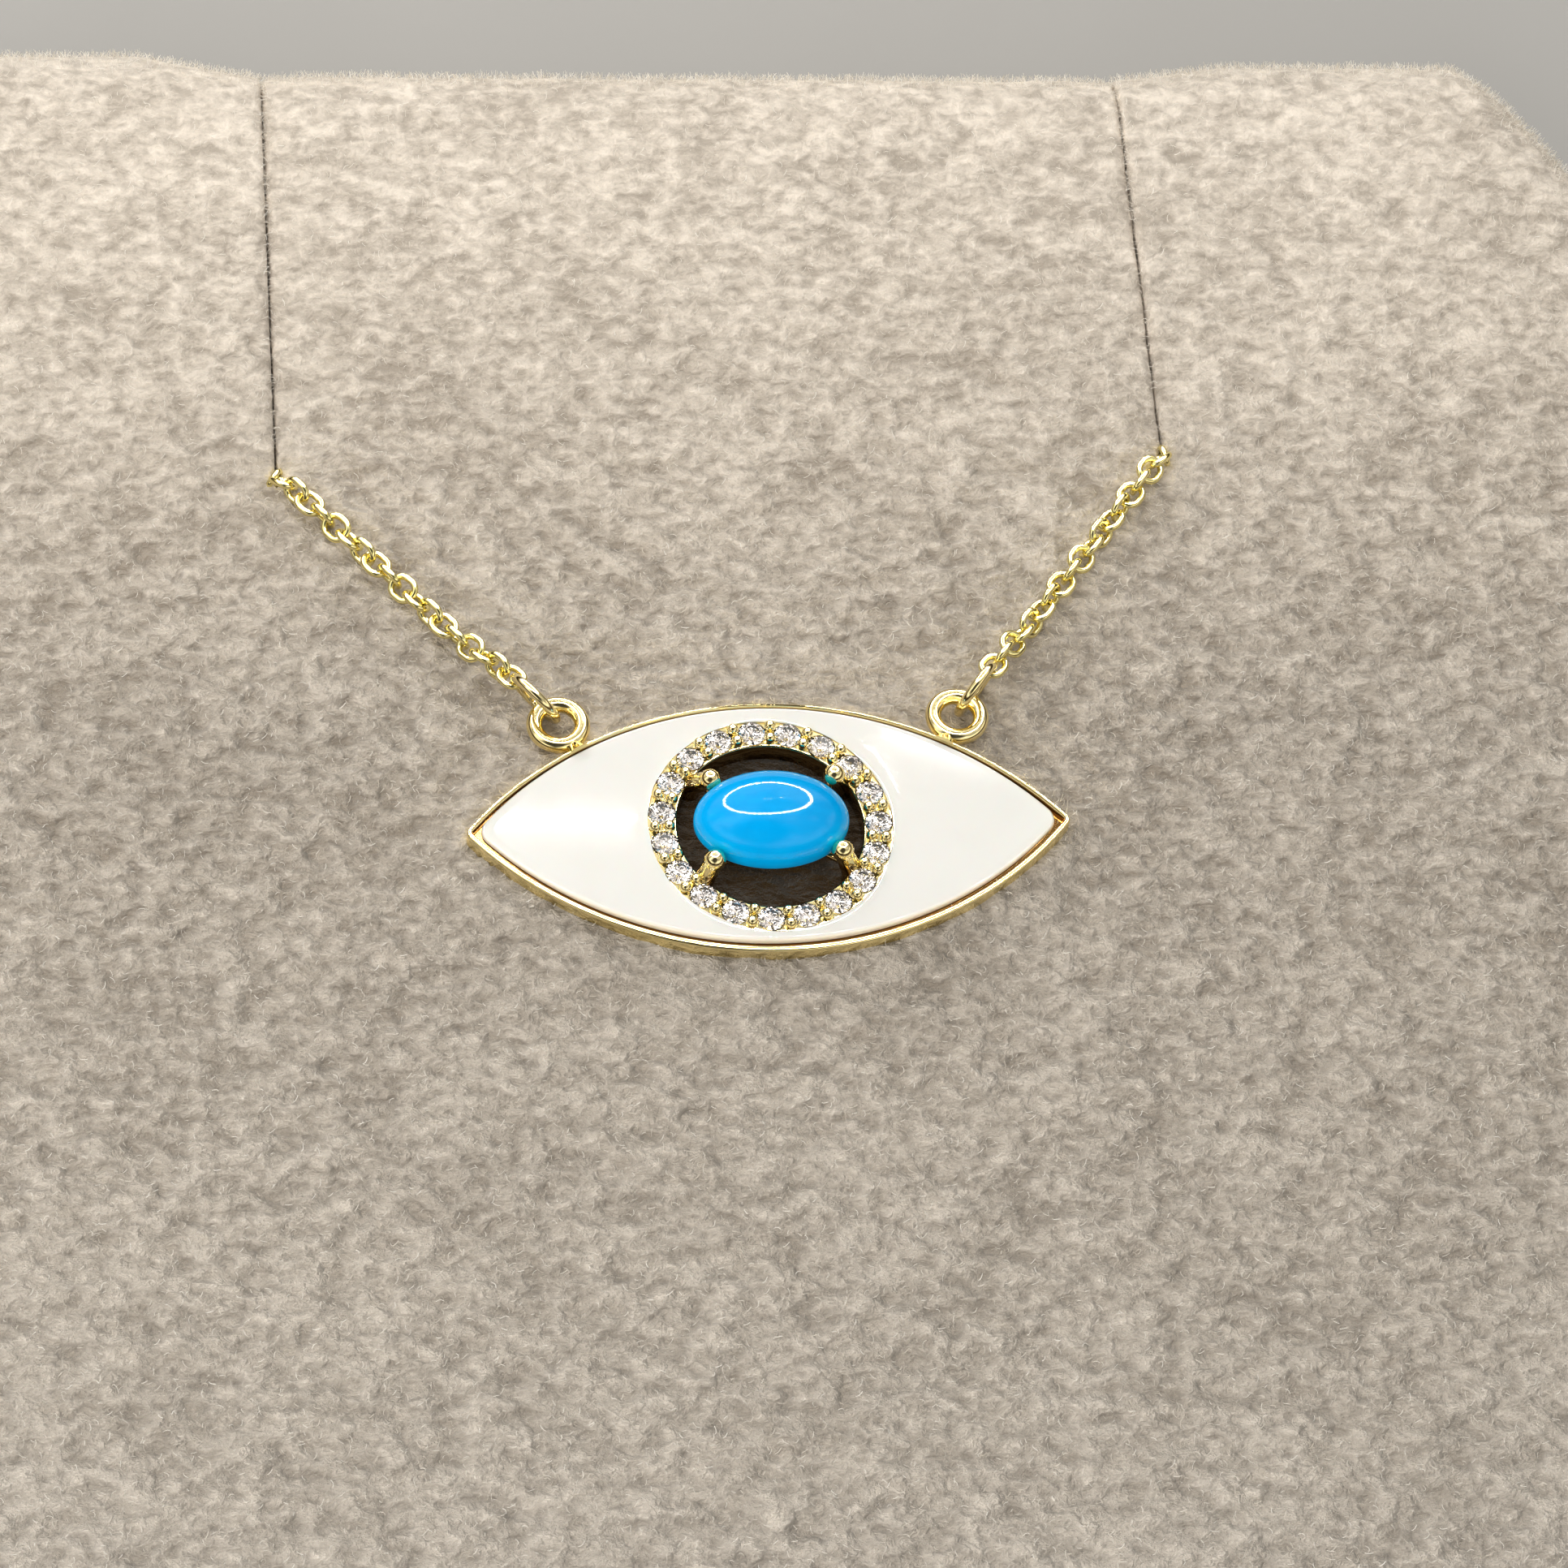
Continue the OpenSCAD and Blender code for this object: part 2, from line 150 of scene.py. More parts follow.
def plain_mesh(piece, name):
    """What a piece's modifiers make, as a plain mesh."""
    seen = piece.evaluated_get(bpy.context.evaluated_depsgraph_get())
    mesh = bpy.data.meshes.new_from_object(seen)
    mesh.name = name
    return mesh


def carve(piece, how, tool, **settings):
    """Cut a tool out of a piece, or weld it on, once the piece is settled."""
    step = piece.modifiers.new(how, "BOOLEAN")
    step.operation, step.object, step.solver = how, tool, "EXACT"
    for key, value in settings.items():
        setattr(step, key, value)


def settle(piece):
    mesh = plain_mesh(piece, piece.name)
    piece.modifiers.clear()
    piece.data = mesh


def discard(*pieces):
    for piece in pieces:
        bpy.data.objects.remove(piece)


def finish_piece(piece, material, slot, *nodes):
    piece.data.materials.clear()
    piece.data.materials.append(material)
    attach(piece, "root")
    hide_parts(*nodes)
    print(piece.name, "has", sum(len(f.vertices) - 2 for f in piece.data.polygons), "triangles")


# %% [markdown]
# ## Helpers for node trees
# Materials and Geometry Nodes are both trees of nodes. Written out by hand each node takes
# several lines, so one helper makes a node, sets it and wires it. The tree being built lies on
# the bench, and every new node goes into it. Short helpers name the nodes that are used most.

# %% Nodes
FLOAT, COLOUR, INTEGER = "NodeSocketFloat", "NodeSocketColor", "NodeSocketInt"
GEOMETRY, MATERIAL = "NodeSocketGeometry", "NodeSocketMaterial"
bench = None


def work_on(tree):
    global bench
    bench = tree
    return tree


def join(value, socket):
    """Set a socket to a value, or wire a socket or a node's first output into it."""
    if isinstance(value, bpy.types.Node):
        value = value.outputs[0]
    if isinstance(value, bpy.types.NodeSocket):
        bench.links.new(value, socket)
    else:
        socket.default_value = value


def put(kind, inputs=None, **settings):
    """Make a node on the bench with its settings, and set or wire its inputs."""
    made = bench.nodes.new(kind)
    for key, value in settings.items():
        setattr(made, key, value)
    for key, value in (inputs or {}).items():
        join(value, made.inputs[key])
    return made


def new_group(name, kind, inputs, outputs):
    """A node group on the bench, with the sockets of its named inputs and outputs."""
    tree = work_on(bpy.data.node_groups.new(name, kind))
    for way, sockets in (("INPUT", inputs), ("OUTPUT", outputs)):
        for label, socket_type, *value in sockets:
            socket = tree.interface.new_socket(name=label, in_out=way, socket_type=socket_type)
            if value:
                socket.default_value = value[0]
    return tree, tree.nodes.new("NodeGroupInput").outputs, tree.nodes.new("NodeGroupOutput").inputs


# %% Sums, vectors, noise and colour
def maths(operation, *values):
    return put("ShaderNodeMath", dict(enumerate(values)), operation=operation)


def fold(operation, first, *others):
    """One operation carried along a row of values."""
    for other in others:
        first = maths(operation, first, other)
    return first


def times(*values):
    return fold("MULTIPLY", *values)


def plus(*values):
    return fold("ADD", *values)


def minus(first, second):
    return maths("SUBTRACT", first, second)


def above(first, second):
    return maths("GREATER_THAN", first, second)


def vector(operation, *values):
    return put("ShaderNodeVectorMath", dict(enumerate(values)), operation=operation)


def xyz(**parts):
    return put("ShaderNodeCombineXYZ", parts)


def split(value):
    return put("ShaderNodeSeparateXYZ", {0: value}).outputs


def here():
    return put("ShaderNodeTexCoord").outputs["Object"]


def noise_at(place, scale, detail, **more):
    return put("ShaderNodeTexNoise", {"Vector": place, "Scale": scale, "Detail": detail, **more})


def fade(value, start, stop, low=0.0, high=1.0, **settings):
    """Spread a value from low to high between a start and a stop."""
    return put("ShaderNodeMapRange", {
        "Value": value, "From Min": start, "From Max": stop, "To Min": low, "To Max": high},
        **settings)


def between(value, limits, most=1.0):
    """Rise from nothing to the most between two limits in millimetres."""
    return fade(value, limits[0] * MM, limits[1] * MM, 0.0, most)


def mix(share, first, second):
    return put("ShaderNodeMix", {"Factor": share, 6: first, 7: second}, data_type="RGBA").outputs[2]


def colour_ramp(value, *stops):
    """Turn a value into a colour, through pairs of a position and a colour."""
    made = put("ShaderNodeValToRGB", {"Fac": value})
    elements = made.color_ramp.elements
    for end, (position, colour) in zip(elements, (stops[0], stops[-1])):
        end.position, end.color = position, (*colour, 1)
    for position, colour in stops[1:-1]:
        elements.new(position).color = (*colour, 1)
    return made


# %% Growing pieces with Geometry Nodes
def random_value(low, high, seed):
    return put("FunctionNodeRandomValue", {2: low, 3: high, "Seed": seed}).outputs[1]


def turned_by(rotation, axis, angle):
    return put("FunctionNodeRotateRotation", {0: rotation, 1: put(
        "FunctionNodeAxisAngleToRotation", {"Axis": axis, "Angle": angle})},
        rotation_space="LOCAL")


def end_tree(copies, smooth=False):
    """End the tree on the bench: its copies are made real and given their material."""
    real = put("GeometryNodeRealizeInstances", {0: copies})
    if smooth:
        real = put("GeometryNodeSetShadeSmooth", {0: real})
    join(put("GeometryNodeSetMaterial", {"Geometry": real, "Material": given["Material"]}),
         out["Geometry"])


def grow(name, tree, values, source=None):
    """Run a Geometry Nodes tree on a mesh or a curve, and keep what it makes as a plain mesh."""
    base = source or add_object(name, bpy.data.meshes.new(name))
    step = base.modifiers.new(name, "NODES")
    step.node_group = tree
    for socket in tree.interface.items_tree:
        if socket.in_out == "INPUT" and socket.name in values:
            step[socket.identifier] = values[socket.name]
    mesh = plain_mesh(base, name)
    base.modifiers.remove(step)
    if source:
        return add_object(name, mesh)
    base.data = mesh
    return base


# %% [markdown]
# ## The eye's outline
# The outline is two arcs of one radius that meet in a small round tip at each end. Drawn as a
# formula, any copy of it can be pulled in by a wall's thickness and still match point for point,
# which is what a loft needs. The arcs' own radius and middle also tell the gold where its dark
# groove lies.

# %% The eye's outline
EYE_LEN, EYE_HEIGHT, TIP_R, WALL_H = 23.5, 11.3, 0.35, 1.2
HALO_R, HOLE_R = 4.82, 3.63
tip_at = EYE_LEN / 2 - TIP_R
half_height = EYE_HEIGHT / 2
ARC_R = (tip_at ** 2 + half_height ** 2 - TIP_R ** 2) / (2 * (half_height - TIP_R))
ARC_Y = ARC_R - half_height


def eye_outline(inset, tip=None, shift=0.0, arc_points=130, tip_points=14):
    r = ARC_R - inset
    tip = max(TIP_R - inset, 0.06) if tip is None else tip
    x = sqrt((r - tip) ** 2 - ARC_Y ** 2)
    lean = atan2(ARC_Y, x)
    points = []
    for cx, cy, radius, start, stop, count in (
            (x, 0, tip, -lean, lean, tip_points),
            (0, -ARC_Y, r, lean, pi - lean, arc_points),
            (-x, 0, tip, pi - lean, pi + lean, tip_points),
            (0, ARC_Y, r, pi + lean, 2 * pi - lean, arc_points)):
        points += [(cx + radius * cos(a), cy + shift + radius * sin(a))
                   for a in np.linspace(start, stop, count, endpoint=False)]
    return points


print("Each long side is an arc of", round(ARC_R, 2), "mm")

# %% [markdown]
# ## Marks of polishing
# A polished piece is never quite even. Fine swirls from the polishing wheel and faint smears
# change how it shines. Gold, chain, enamel and turquoise all show them, so they are one shader
# node group that gives a roughness and a height, and each material sets its own amounts.

# %% Marks of polishing
marks, given, out = new_group(
    "polish_marks", "ShaderNodeTree",
    [("Swirl Size", FLOAT, 0.4), ("Smear Size", FLOAT, 3.0), ("Roughness", FLOAT, 0.1),
     ("Unevenness", FLOAT, 0.1)], [("Roughness", FLOAT), ("Height", FLOAT)])
place = here()
swirls = noise_at(place, maths("DIVIDE", 1000, given["Swirl Size"]), 4, Roughness=0.6,
                  Distortion=1.2)
smears = noise_at(place, maths("DIVIDE", 1000, given["Smear Size"]), 2)
mixed = plus(times(swirls, 0.5), times(smears, 0.5))
uneven = times(minus(mixed, 0.5), given["Unevenness"])
join(maths("MAXIMUM", plus(given["Roughness"], uneven), 0.01), out["Roughness"])
join(mixed, out["Height"])
print("Shader group", marks.name)


# %% Starting a material
def new_material(name, **sockets):
    material = bpy.data.materials.new(name)
    material.use_nodes = True
    shader = work_on(material.node_tree).nodes["Principled BSDF"]
    for key, value in sockets.items():
        shader.inputs[key.replace("_", " ")].default_value = value
    return material, shader


def add_marks(shader, height, swirl, smear, roughness, unevenness):
    used = put("ShaderNodeGroup", {
        "Swirl Size": swirl, "Smear Size": smear, "Roughness": roughness,
        "Unevenness": unevenness}, node_tree=marks)
    bump = put("ShaderNodeBump", {
        "Strength": 1.0, "Distance": height * MM, "Height": used.outputs["Height"]})
    join(used.outputs["Roughness"], shader.inputs["Roughness"])
    join(bump, shader.inputs["Normal"])


def two_tones(shader, first, second, size, distortion=0.5):
    """Drift the colour between two tones over patches of a given size in millimetres."""
    patches = noise_at(here(), 1000 / size, 3, Distortion=distortion)
    tones = colour_ramp(patches, (0.35, first), (0.65, second))
    join(tones, shader.inputs["Base Color"])
    return tones


# %% [markdown]
# ## Gold
# Yellow gold is a plain metal shader with a warm colour. Its look comes from what it reflects,
# so the roughness stays low and only the polishing marks disturb it. The groove inside the wall,
# the inside of the hole and the lower part of the claws get painted shade: a dark brown base
# colour, where a mask made from the eye's own arcs says. The chain's wire is drawn and tumbled,
# not wheel polished: it is a paler and slightly softer gold.

# %% Where the gold gets painted shade
WALL_LINE, FLOOR_LINE, WALL_TOP = (0.08, 0.14), (0.85, 0.65), (11.18, 11.10)
HOLE_LINE, IN_HOLE, CLAW_TOP = (3.74, 3.66), 0.8, (11.60, 11.50)
# Painted shade: the dark brown for the groove, the hole's inside and the claws' feet.
PAINTED_SHADE_GOLD = (0.28, 0.15, 0.045, 1)
gold, shader = new_material("gold", Metallic=1.0)
polished = two_tones(shader, (0.90, 0.75, 0.36), (0.95, 0.815, 0.44), 2.5)
centred = vector("SUBTRACT", here(), (EYE_X * MM, 0, 0))
turned = split(put("ShaderNodeMapping", {"Vector": centred, "Rotation": (0.0, 0.0, -EYE_TURN)}))
from_arc = vector("LENGTH", xyz(X=turned["X"], Y=plus(
    maths("ABSOLUTE", turned["Y"]), ARC_Y * MM))).outputs["Value"]
from_axis = vector("LENGTH", xyz(X=turned["X"], Y=turned["Y"])).outputs["Value"]
inward = minus(ARC_R * MM, from_arc)
in_groove = times(between(inward, WALL_LINE), between(inward, FLOOR_LINE),
                  between(turned["Z"], WALL_TOP))
in_hole = times(between(from_axis, HOLE_LINE, IN_HOLE), between(turned["Z"], CLAW_TOP))

# %% Gold
# Painted shade: the groove and the hole's inside are mixed towards a dark brown.
join(mix(maths("MAXIMUM", in_groove, in_hole), polished, PAINTED_SHADE_GOLD), shader.inputs["Base Color"])
add_marks(shader, 0.002, 0.25, 2.0, 0.07, 0.08)

chain_gold, shader = new_material("chain_gold", Metallic=1.0)
two_tones(shader, (0.89, 0.78, 0.33), (0.94, 0.84, 0.42), 1.5)
add_marks(shader, 0.003, 0.12, 1.0, 0.12, 0.12)
print("Materials", gold.name, "and", chain_gold.name)

# %% [markdown]
# ## Enamel
# The enamel is a glossy glaze that was filled by hand, so its face is a little wavy. A clear coat
# over a soft white body gives that depth, so the body itself hardly shines. A little light enters
# the body before it comes back, which Blender calls subsurface scattering.

# %% Enamel
enamel_white, shader = new_material(
    "enamel_white", Specular_IOR_Level=0.15, Coat_Weight=0.7, Coat_Roughness=0.015,
    Subsurface_Weight=0.15, Subsurface_Scale=0.0004, IOR=1.5)
two_tones(shader, (0.795, 0.785, 0.747), (0.825, 0.815, 0.78), 5)
add_marks(shader, 0.005, 1.6, 5.0, 0.07, 0.06)
print("Material", enamel_white.name)

# %% [markdown]
# ## Turquoise
# This stone is an even sky blue with hardly a vein. It is polished to a high gloss. A second,
# slightly lighter blue drifts through it, so that it doesn't look like paint.

# %% Turquoise
sky_turquoise, shader = new_material("sky_turquoise", Specular_IOR_Level=0.25, IOR=1.5)
two_tones(shader, (0.0, 0.385, 0.88), (0.0, 0.425, 0.94), 1.6, distortion=1.5)
add_marks(shader, 0.0012, 0.8, 3.0, 0.05, 0.04)
print("Material", sky_turquoise.name)

# %% [markdown]
# ## Brilliants
# A small brilliant is clear, with a much higher index of refraction than glass. That index makes
# its facets flash, so no colour is needed apart from a breath of warmth.

# %% Brilliant
clear_brilliant, shader = new_material(
    "clear_brilliant", Base_Color=(1.0, 0.98, 0.965, 1), Roughness=0.0, IOR=2.42,
    Transmission_Weight=1.0)
print("Material", clear_brilliant.name)

# %% [markdown]
# ## Suede
# The pad wears a napped cloth like suede: short curled hairs that lie every way. Up close each
# curl catches the light on one side. A node group warps a noise into curls a few tenths of a
# millimetre wide, and adds tufts and the larger clouds that a hand leaves when it brushes the
# nap. The bump is weaker towards the far end. The cloth is painted paler at its two ends, as
# painted light, and a painted shadow lies dark under the pendant.

# %% Nap
nap_tone, given, out = new_group(
    "nap_tone", "ShaderNodeTree",
    [("Dark", COLOUR), ("Light", COLOUR), ("Curl Size", FLOAT, 0.55), ("Cloud Size", FLOAT, 6.0)],
    [("Color", COLOUR), ("Height", FLOAT)])
where = here()
curl_scale = maths("DIVIDE", 1000, given["Curl Size"])
lying = vector("MULTIPLY", where, (0.75, 1.0, 1.0))
warp = noise_at(where, times(curl_scale, 0.6), 1).outputs["Color"]
bent = vector("ADD", lying, vector("MULTIPLY", warp, (0.0004, 0.0004, 0.0004)))
curls = noise_at(bent, curl_scale, 5, Roughness=0.62)
clouds = noise_at(where, maths("DIVIDE", 1000, given["Cloud Size"]), 3)
tufts = noise_at(bent, times(curl_scale, 0.42), 2)
tone = maths("MULTIPLY_ADD", minus(clouds, 0.5), 0.25, curls)
tone = maths("MULTIPLY_ADD", minus(tufts, 0.5), 0.35, tone)
join(mix(fade(tone, 0.34, 0.67), given["Dark"], given["Light"]), out["Color"])
join(maths("MULTIPLY_ADD", curls, 0.55, tufts), out["Height"])

# %% Suede
NAP_DEPTH, UNDER_EYE, PAINTED_SHADOW_REACH = 2.7, (0.0005, 0.0, 0.0102), (3.8, 4.4)
PAINTED_LIGHT_ENDS = ((14, 40, 0.14), (37.5, 40, 0.22), (0, -36, 0.15))
suede, shader = new_material(
    "suede", Roughness=0.95, Sheen_Weight=0.25, Sheen_Roughness=0.5,
    Sheen_Tint=(1.0, 0.96, 0.9, 1), Specular_IOR_Level=0.15)
nap = put("ShaderNodeGroup", {
    "Dark": (0.425, 0.357, 0.283, 1), "Light": (0.90, 0.80, 0.68, 1)}, node_tree=nap_tone)
where = here()
along = split(where)["Y"]
brushed = fade(along, 5 * MM, 36 * MM, 1.0, 0.35)
join(put("ShaderNodeBump", {"Strength": brushed, "Distance": NAP_DEPTH * MM,
                            "Height": nap.outputs["Height"]}), shader.inputs["Normal"])
# Painted light: the cloth is mixed towards a pale colour at its two ends.
painted_light = plus(*[between(along, (start, stop), most) for start, stop, most in PAINTED_LIGHT_ENDS])
from_eye = vector("DISTANCE", where, UNDER_EYE).outputs["Value"]
# Painted shadow: a dark brown base colour under the pendant's middle.
join(mix(between(from_eye, PAINTED_SHADOW_REACH), (0.055, 0.028, 0.004, 1),
         mix(painted_light, nap, (1.0, 0.96, 0.90, 1))), shader.inputs["Base Color"])

loose_nap, shader = new_material(
    "loose_nap", Roughness=0.9, Sheen_Weight=0.3, Specular_IOR_Level=0.15)
tint = put("ShaderNodeAttribute", attribute_name="hair_tone").outputs["Fac"]
join(colour_ramp(tint, (0, (0.66, 0.59, 0.49)), (1, (1.0, 0.96, 0.88))),
     shader.inputs["Base Color"])
print("Materials", suede.name, "and", loose_nap.name)

# %% [markdown]
# ## Gold tray, halo ring and seats
# The wall, the floor and the ring round the hole are soldered into one piece. One loft runs up
# the outside of the wall, over its rounded rim, down inside, across the floor, over the halo
# ring and back underneath. A Geometry Nodes tree then sets copies of anything evenly round the
# halo. It places the cutters that drill the seats, the beads, and later the brilliants.

# %% Gold tray
TRAY_Z, RIM_IN, RIM_SHIFT = 0.85, 0.22, 0.06
rim = [(0.05, 0.0, 0), (0.0, 0.06, 0), (0.0, 0.55, 0), (0.0, 1.09, 0), (0.015, 1.15, 0),
       (0.05, 1.19, 0.01), (0.10, WALL_H, 0.03), (0.145, 1.19, 0.05), (0.185, 1.15, RIM_SHIFT),
       (RIM_IN, 1.08, RIM_SHIFT), (RIM_IN, TRAY_Z, RIM_SHIFT)]
halo = [(HALO_R, TRAY_Z), (HALO_R, 1.12), (4.80, 1.17), (4.75, WALL_H), (3.70, WALL_H),
        (3.65, 1.17), (HOLE_R, 1.12), (HOLE_R, 0.06), (3.67, 0.0), (HALO_R, 0.0)]
sections = [[(x, y, z) for x, y in eye_outline(inset, shift=shift)] for inset, z, shift in rim]
sections += [[(radius * x / hypot(x, y), radius * y / hypot(x, y), z)
              for x, y in eye_outline(RIM_IN, shift=RIM_SHIFT)] for radius, z in halo]
tray = make_piece("pendant_gold", loft(sections, close_path=True), EYE)

# %% Copies round the halo
STONES, STONE_D, HALO_MID, FIRST_STONE = 19, 1.04, (HALO_R + HOLE_R) / 2, radians(-94.6)
around, given, out = new_group(
    "copies_round_the_halo", "GeometryNodeTree",
    [("Copy", "NodeSocketObject"), ("Count", INTEGER, STONES), ("Radius", FLOAT, HALO_MID),
     ("Start", FLOAT, FIRST_STONE), ("Height", FLOAT), ("Spin", FLOAT), ("Tilt", FLOAT),
     ("Seed", INTEGER, 4), ("Material", MATERIAL)], [("Geometry", GEOMETRY)])
ring = put("GeometryNodeMeshCircle", {"Vertices": given["Count"], "Radius": given["Radius"]})
posed = put("GeometryNodeTransform", {
    "Geometry": ring, "Translation": xyz(Z=given["Height"]), "Rotation": xyz(Z=given["Start"])})
step = maths("DIVIDE", 2 * pi, given["Count"])
angle = maths("MULTIPLY_ADD", put("GeometryNodeInputIndex"), step, given["Start"])
tilts = [random_value(times(given["Tilt"], -1), given["Tilt"], plus(given["Seed"], more))
         for more in (1, 2)]
heading = xyz(X=tilts[0], Y=tilts[1],
              Z=plus(angle, random_value(0.0, given["Spin"], given["Seed"])))
copy = put("GeometryNodeObjectInfo", {"Object": given["Copy"], "As Instance": True})
end_tree(put("GeometryNodeInstanceOnPoints", {
    "Points": posed, "Instance": copy.outputs["Geometry"],
    "Rotation": put("FunctionNodeEulerToRotation", {0: heading})}))
print("The halo takes", STONES, "stones, one each", round(360 / STONES, 2), "degrees")


# %% Seats
def lathe(profile, sides=24):
    """A turned solid from (radius, height) pairs."""
    return loft([level_ring(r, r, z, sides) for r, z in profile])


def ball(radius, at, sides, steps):
    angles = np.linspace(-pi / 2, pi / 2, steps)
    angles[0], angles[-1] = angles[0] + 0.02, angles[-1] - 0.02
    part = lathe([(radius * cos(a), radius * sin(a)) for a in angles], sides)
    return shifted(part, *at)


GIRDLE_Z = 1.22
cutter = make_piece("seat_cutter", lathe([(0.05, -0.55), (0.50, -0.08), (0.555, -0.02),
                                          (0.56, 0.25)], 28))
ring_values = {"Copy": cutter, "Height": GIRDLE_Z * MM, "Radius": HALO_MID * MM,
               "Material": gold}
seats = grow("seats", around, ring_values)
seats.data.transform(EYE_FROM_METRES)
carve(tray, "DIFFERENCE", seats)
settle(tray)

# %% Beads
BEAD_R, STEM_R, BEAD_OUT, STEM_OUT = 0.235, 0.23, 0.275, 0.28
bead_pair = make_piece("bead_pair", combine(*[combine(
    ball(BEAD_R, (side * BEAD_OUT, 0, 0.14), 16, 9),
    shifted(lathe([(STEM_R, -0.45), (STEM_R, 0.13)], 16), side * STEM_OUT, 0, 0))
    for side in (-1, 1)]))
beads = grow("halo_beads", around, {
    **ring_values, "Copy": bead_pair, "Height": WALL_H * MM,
    "Start": FIRST_STONE + pi / STONES, "Tilt": 0.05})
beads.data.transform(EYE_FROM_METRES)
discard(cutter, seats, bead_pair)
print("Drilled", STONES, "seats and raised", 2 * STONES, "beads")

# %% [markdown]
# ## Claws and bearing ring
# Each claw is a thick wire soldered inside the halo ring. It leans in over the turquoise and ends
# in a ball. A tube drawn along a short path, with a width at each point, gives the wire its
# taper. The oval bearing ring sits under the stone and shows as a thin line of gold.


# %% Wires along a path
def tube(path, radii, sides=16):
    """A round wire along a path, with a radius at each point."""
    points = [Vector(p) for p in path]
    rings = []
    side = None
    for i, p in enumerate(points):
        ahead = (points[min(i + 1, len(points) - 1)] - points[max(i - 1, 0)]).normalized()
        side = (side or ahead.orthogonal())
        side = (side - ahead * side.dot(ahead)).normalized()
        across = ahead.cross(side)
        rings.append([p + (side * cos(a) + across * sin(a)) * float(radii[i])
                      for a in full_turn(sides)])
    return loft(rings)


def smooth_path(points, count):
    """A smooth curve through a few points."""
    p = np.array(points, float)
    ends = np.vstack([p[0], p, p[-1]])
    spots = []
    for t in np.linspace(0, len(p) - 1, count):
        i = min(int(t), len(p) - 2)
        f = t - i
        a, b, c, d = ends[i:i + 4]
        spots.append(0.5 * (2 * b + (c - a) * f + (2 * a - 5 * b + 4 * c - d) * f ** 2
                            + (3 * b - a - 3 * c + d) * f ** 3))
    return np.array(spots)


# %% Claws and bearing ring
CLAW_BALL, CLAW_Z, CLAW_FOOT, CLAW_KNEE = 0.43, 1.9, 3.68, 3.60
STRUT_FROM, STRUT_TO, STRUT_Z, STRUT_R = 2.45, 3.45, 1.10, 0.12
claws = []
for x, y in ((-2.27, 1.71), (2.58, 1.80), (-2.39, -1.94), (2.60, -1.64)):
    out_x, out_y = Vector((x, y)).normalized()
    reach = hypot(x, y)
    path = [(r * out_x, r * out_y, z) for r, z in (
        (CLAW_FOOT, 0.30), (CLAW_KNEE, 0.80), (0.55 * CLAW_KNEE + 0.45 * reach, 1.32),
        (reach, CLAW_Z))]
    strut = [(r * out_x, r * out_y, STRUT_Z) for r in (STRUT_FROM, STRUT_TO)]
    claws.append(combine(tube(smooth_path(path, 14), np.linspace(0.46, 0.36, 14), 20),
                         ball(CLAW_BALL, path[-1], 32, 20), tube(strut, [STRUT_R, STRUT_R], 12)))
bearing = loft([level_ring(*row, 96) for row in (
    (2.62, 1.62, 1.03), (2.60, 1.60, 1.14), (2.62, 1.62, 1.25), (2.74, 1.74, 1.27),
    (2.86, 1.86, 1.25), (2.88, 1.88, 1.14), (2.86, 1.86, 1.03), (2.74, 1.74, 1.01))],
    close_path=True)
claws_piece = make_piece("claws", combine(bearing, *claws), EYE)
print("Claws end in balls of", 2 * CLAW_BALL, "mm")

# %% [markdown]
# ## Side loops
# A plain ring is soldered to each upper side of the eye and takes the chain. The solder leaves a
# soft neck, widest where it meets the wall and the ring. All the gold is then fused: a Boolean
# union removes the walls hidden inside, so the result is one clean skin.

# %% Side loops
LOOP_X, LOOP_Y, LOOP_Z, LOOP_MID, LOOP_WIRE = 7.86, 5.05, 0.85, 0.94, 0.63


def wire_round(mid, r, a, sides):
    """The round outline of a ring's wire, at one angle of the ring."""
    return [((mid + r * cos(q)) * cos(a), (mid + r * cos(q)) * sin(a),
             r * sin(q)) for q in full_turn(sides)]


def torus(mid, wire, sides=72, wire_sides=24):
    return loft([wire_round(mid, wire / 2, a, wire_sides) for a in full_turn(sides)],
                close_path=True)


outward = Vector((LOOP_X, LOOP_Y + ARC_Y, 0)).normalized()
wall_point = Vector((0, -ARC_Y, LOOP_Z)) + outward * (ARC_R - 0.12)
ring_point = Vector((LOOP_X, LOOP_Y, LOOP_Z)) - outward * LOOP_MID
neck_shares = np.linspace(0, 1, 9)
neck = tube([wall_point.lerp(ring_point, t) for t in neck_shares],
            [0.55 - 0.50 * t + 0.18 * t * t for t in neck_shares], 24)
loop = combine(shifted(torus(LOOP_MID, LOOP_WIRE), LOOP_X, LOOP_Y, LOOP_Z), neck)
loops = make_piece("loops", combine(loop, moved(loop, Matrix.Diagonal((-1, 1, 1, 1)))), EYE)
for added in (beads, claws_piece, loops):
    carve(tray, "UNION", added, use_self=True)
settle(tray)
mark_edges(tray.data, 40)
discard(beads, claws_piece, loops)
finish_piece(tray, gold, "gold", "pendant_frame")

# %% [markdown]
# ## Enamel field
# The enamel fills the eye between the wall and the halo. Its face is slightly domed and rolls
# down at the outer edge, which leaves the dark groove that shows inside the lower wall. Against
# the halo it creeps up a little, as a wet glaze does. The field is drawn as spokes from the eye's
# middle, each running from the halo to the outline.

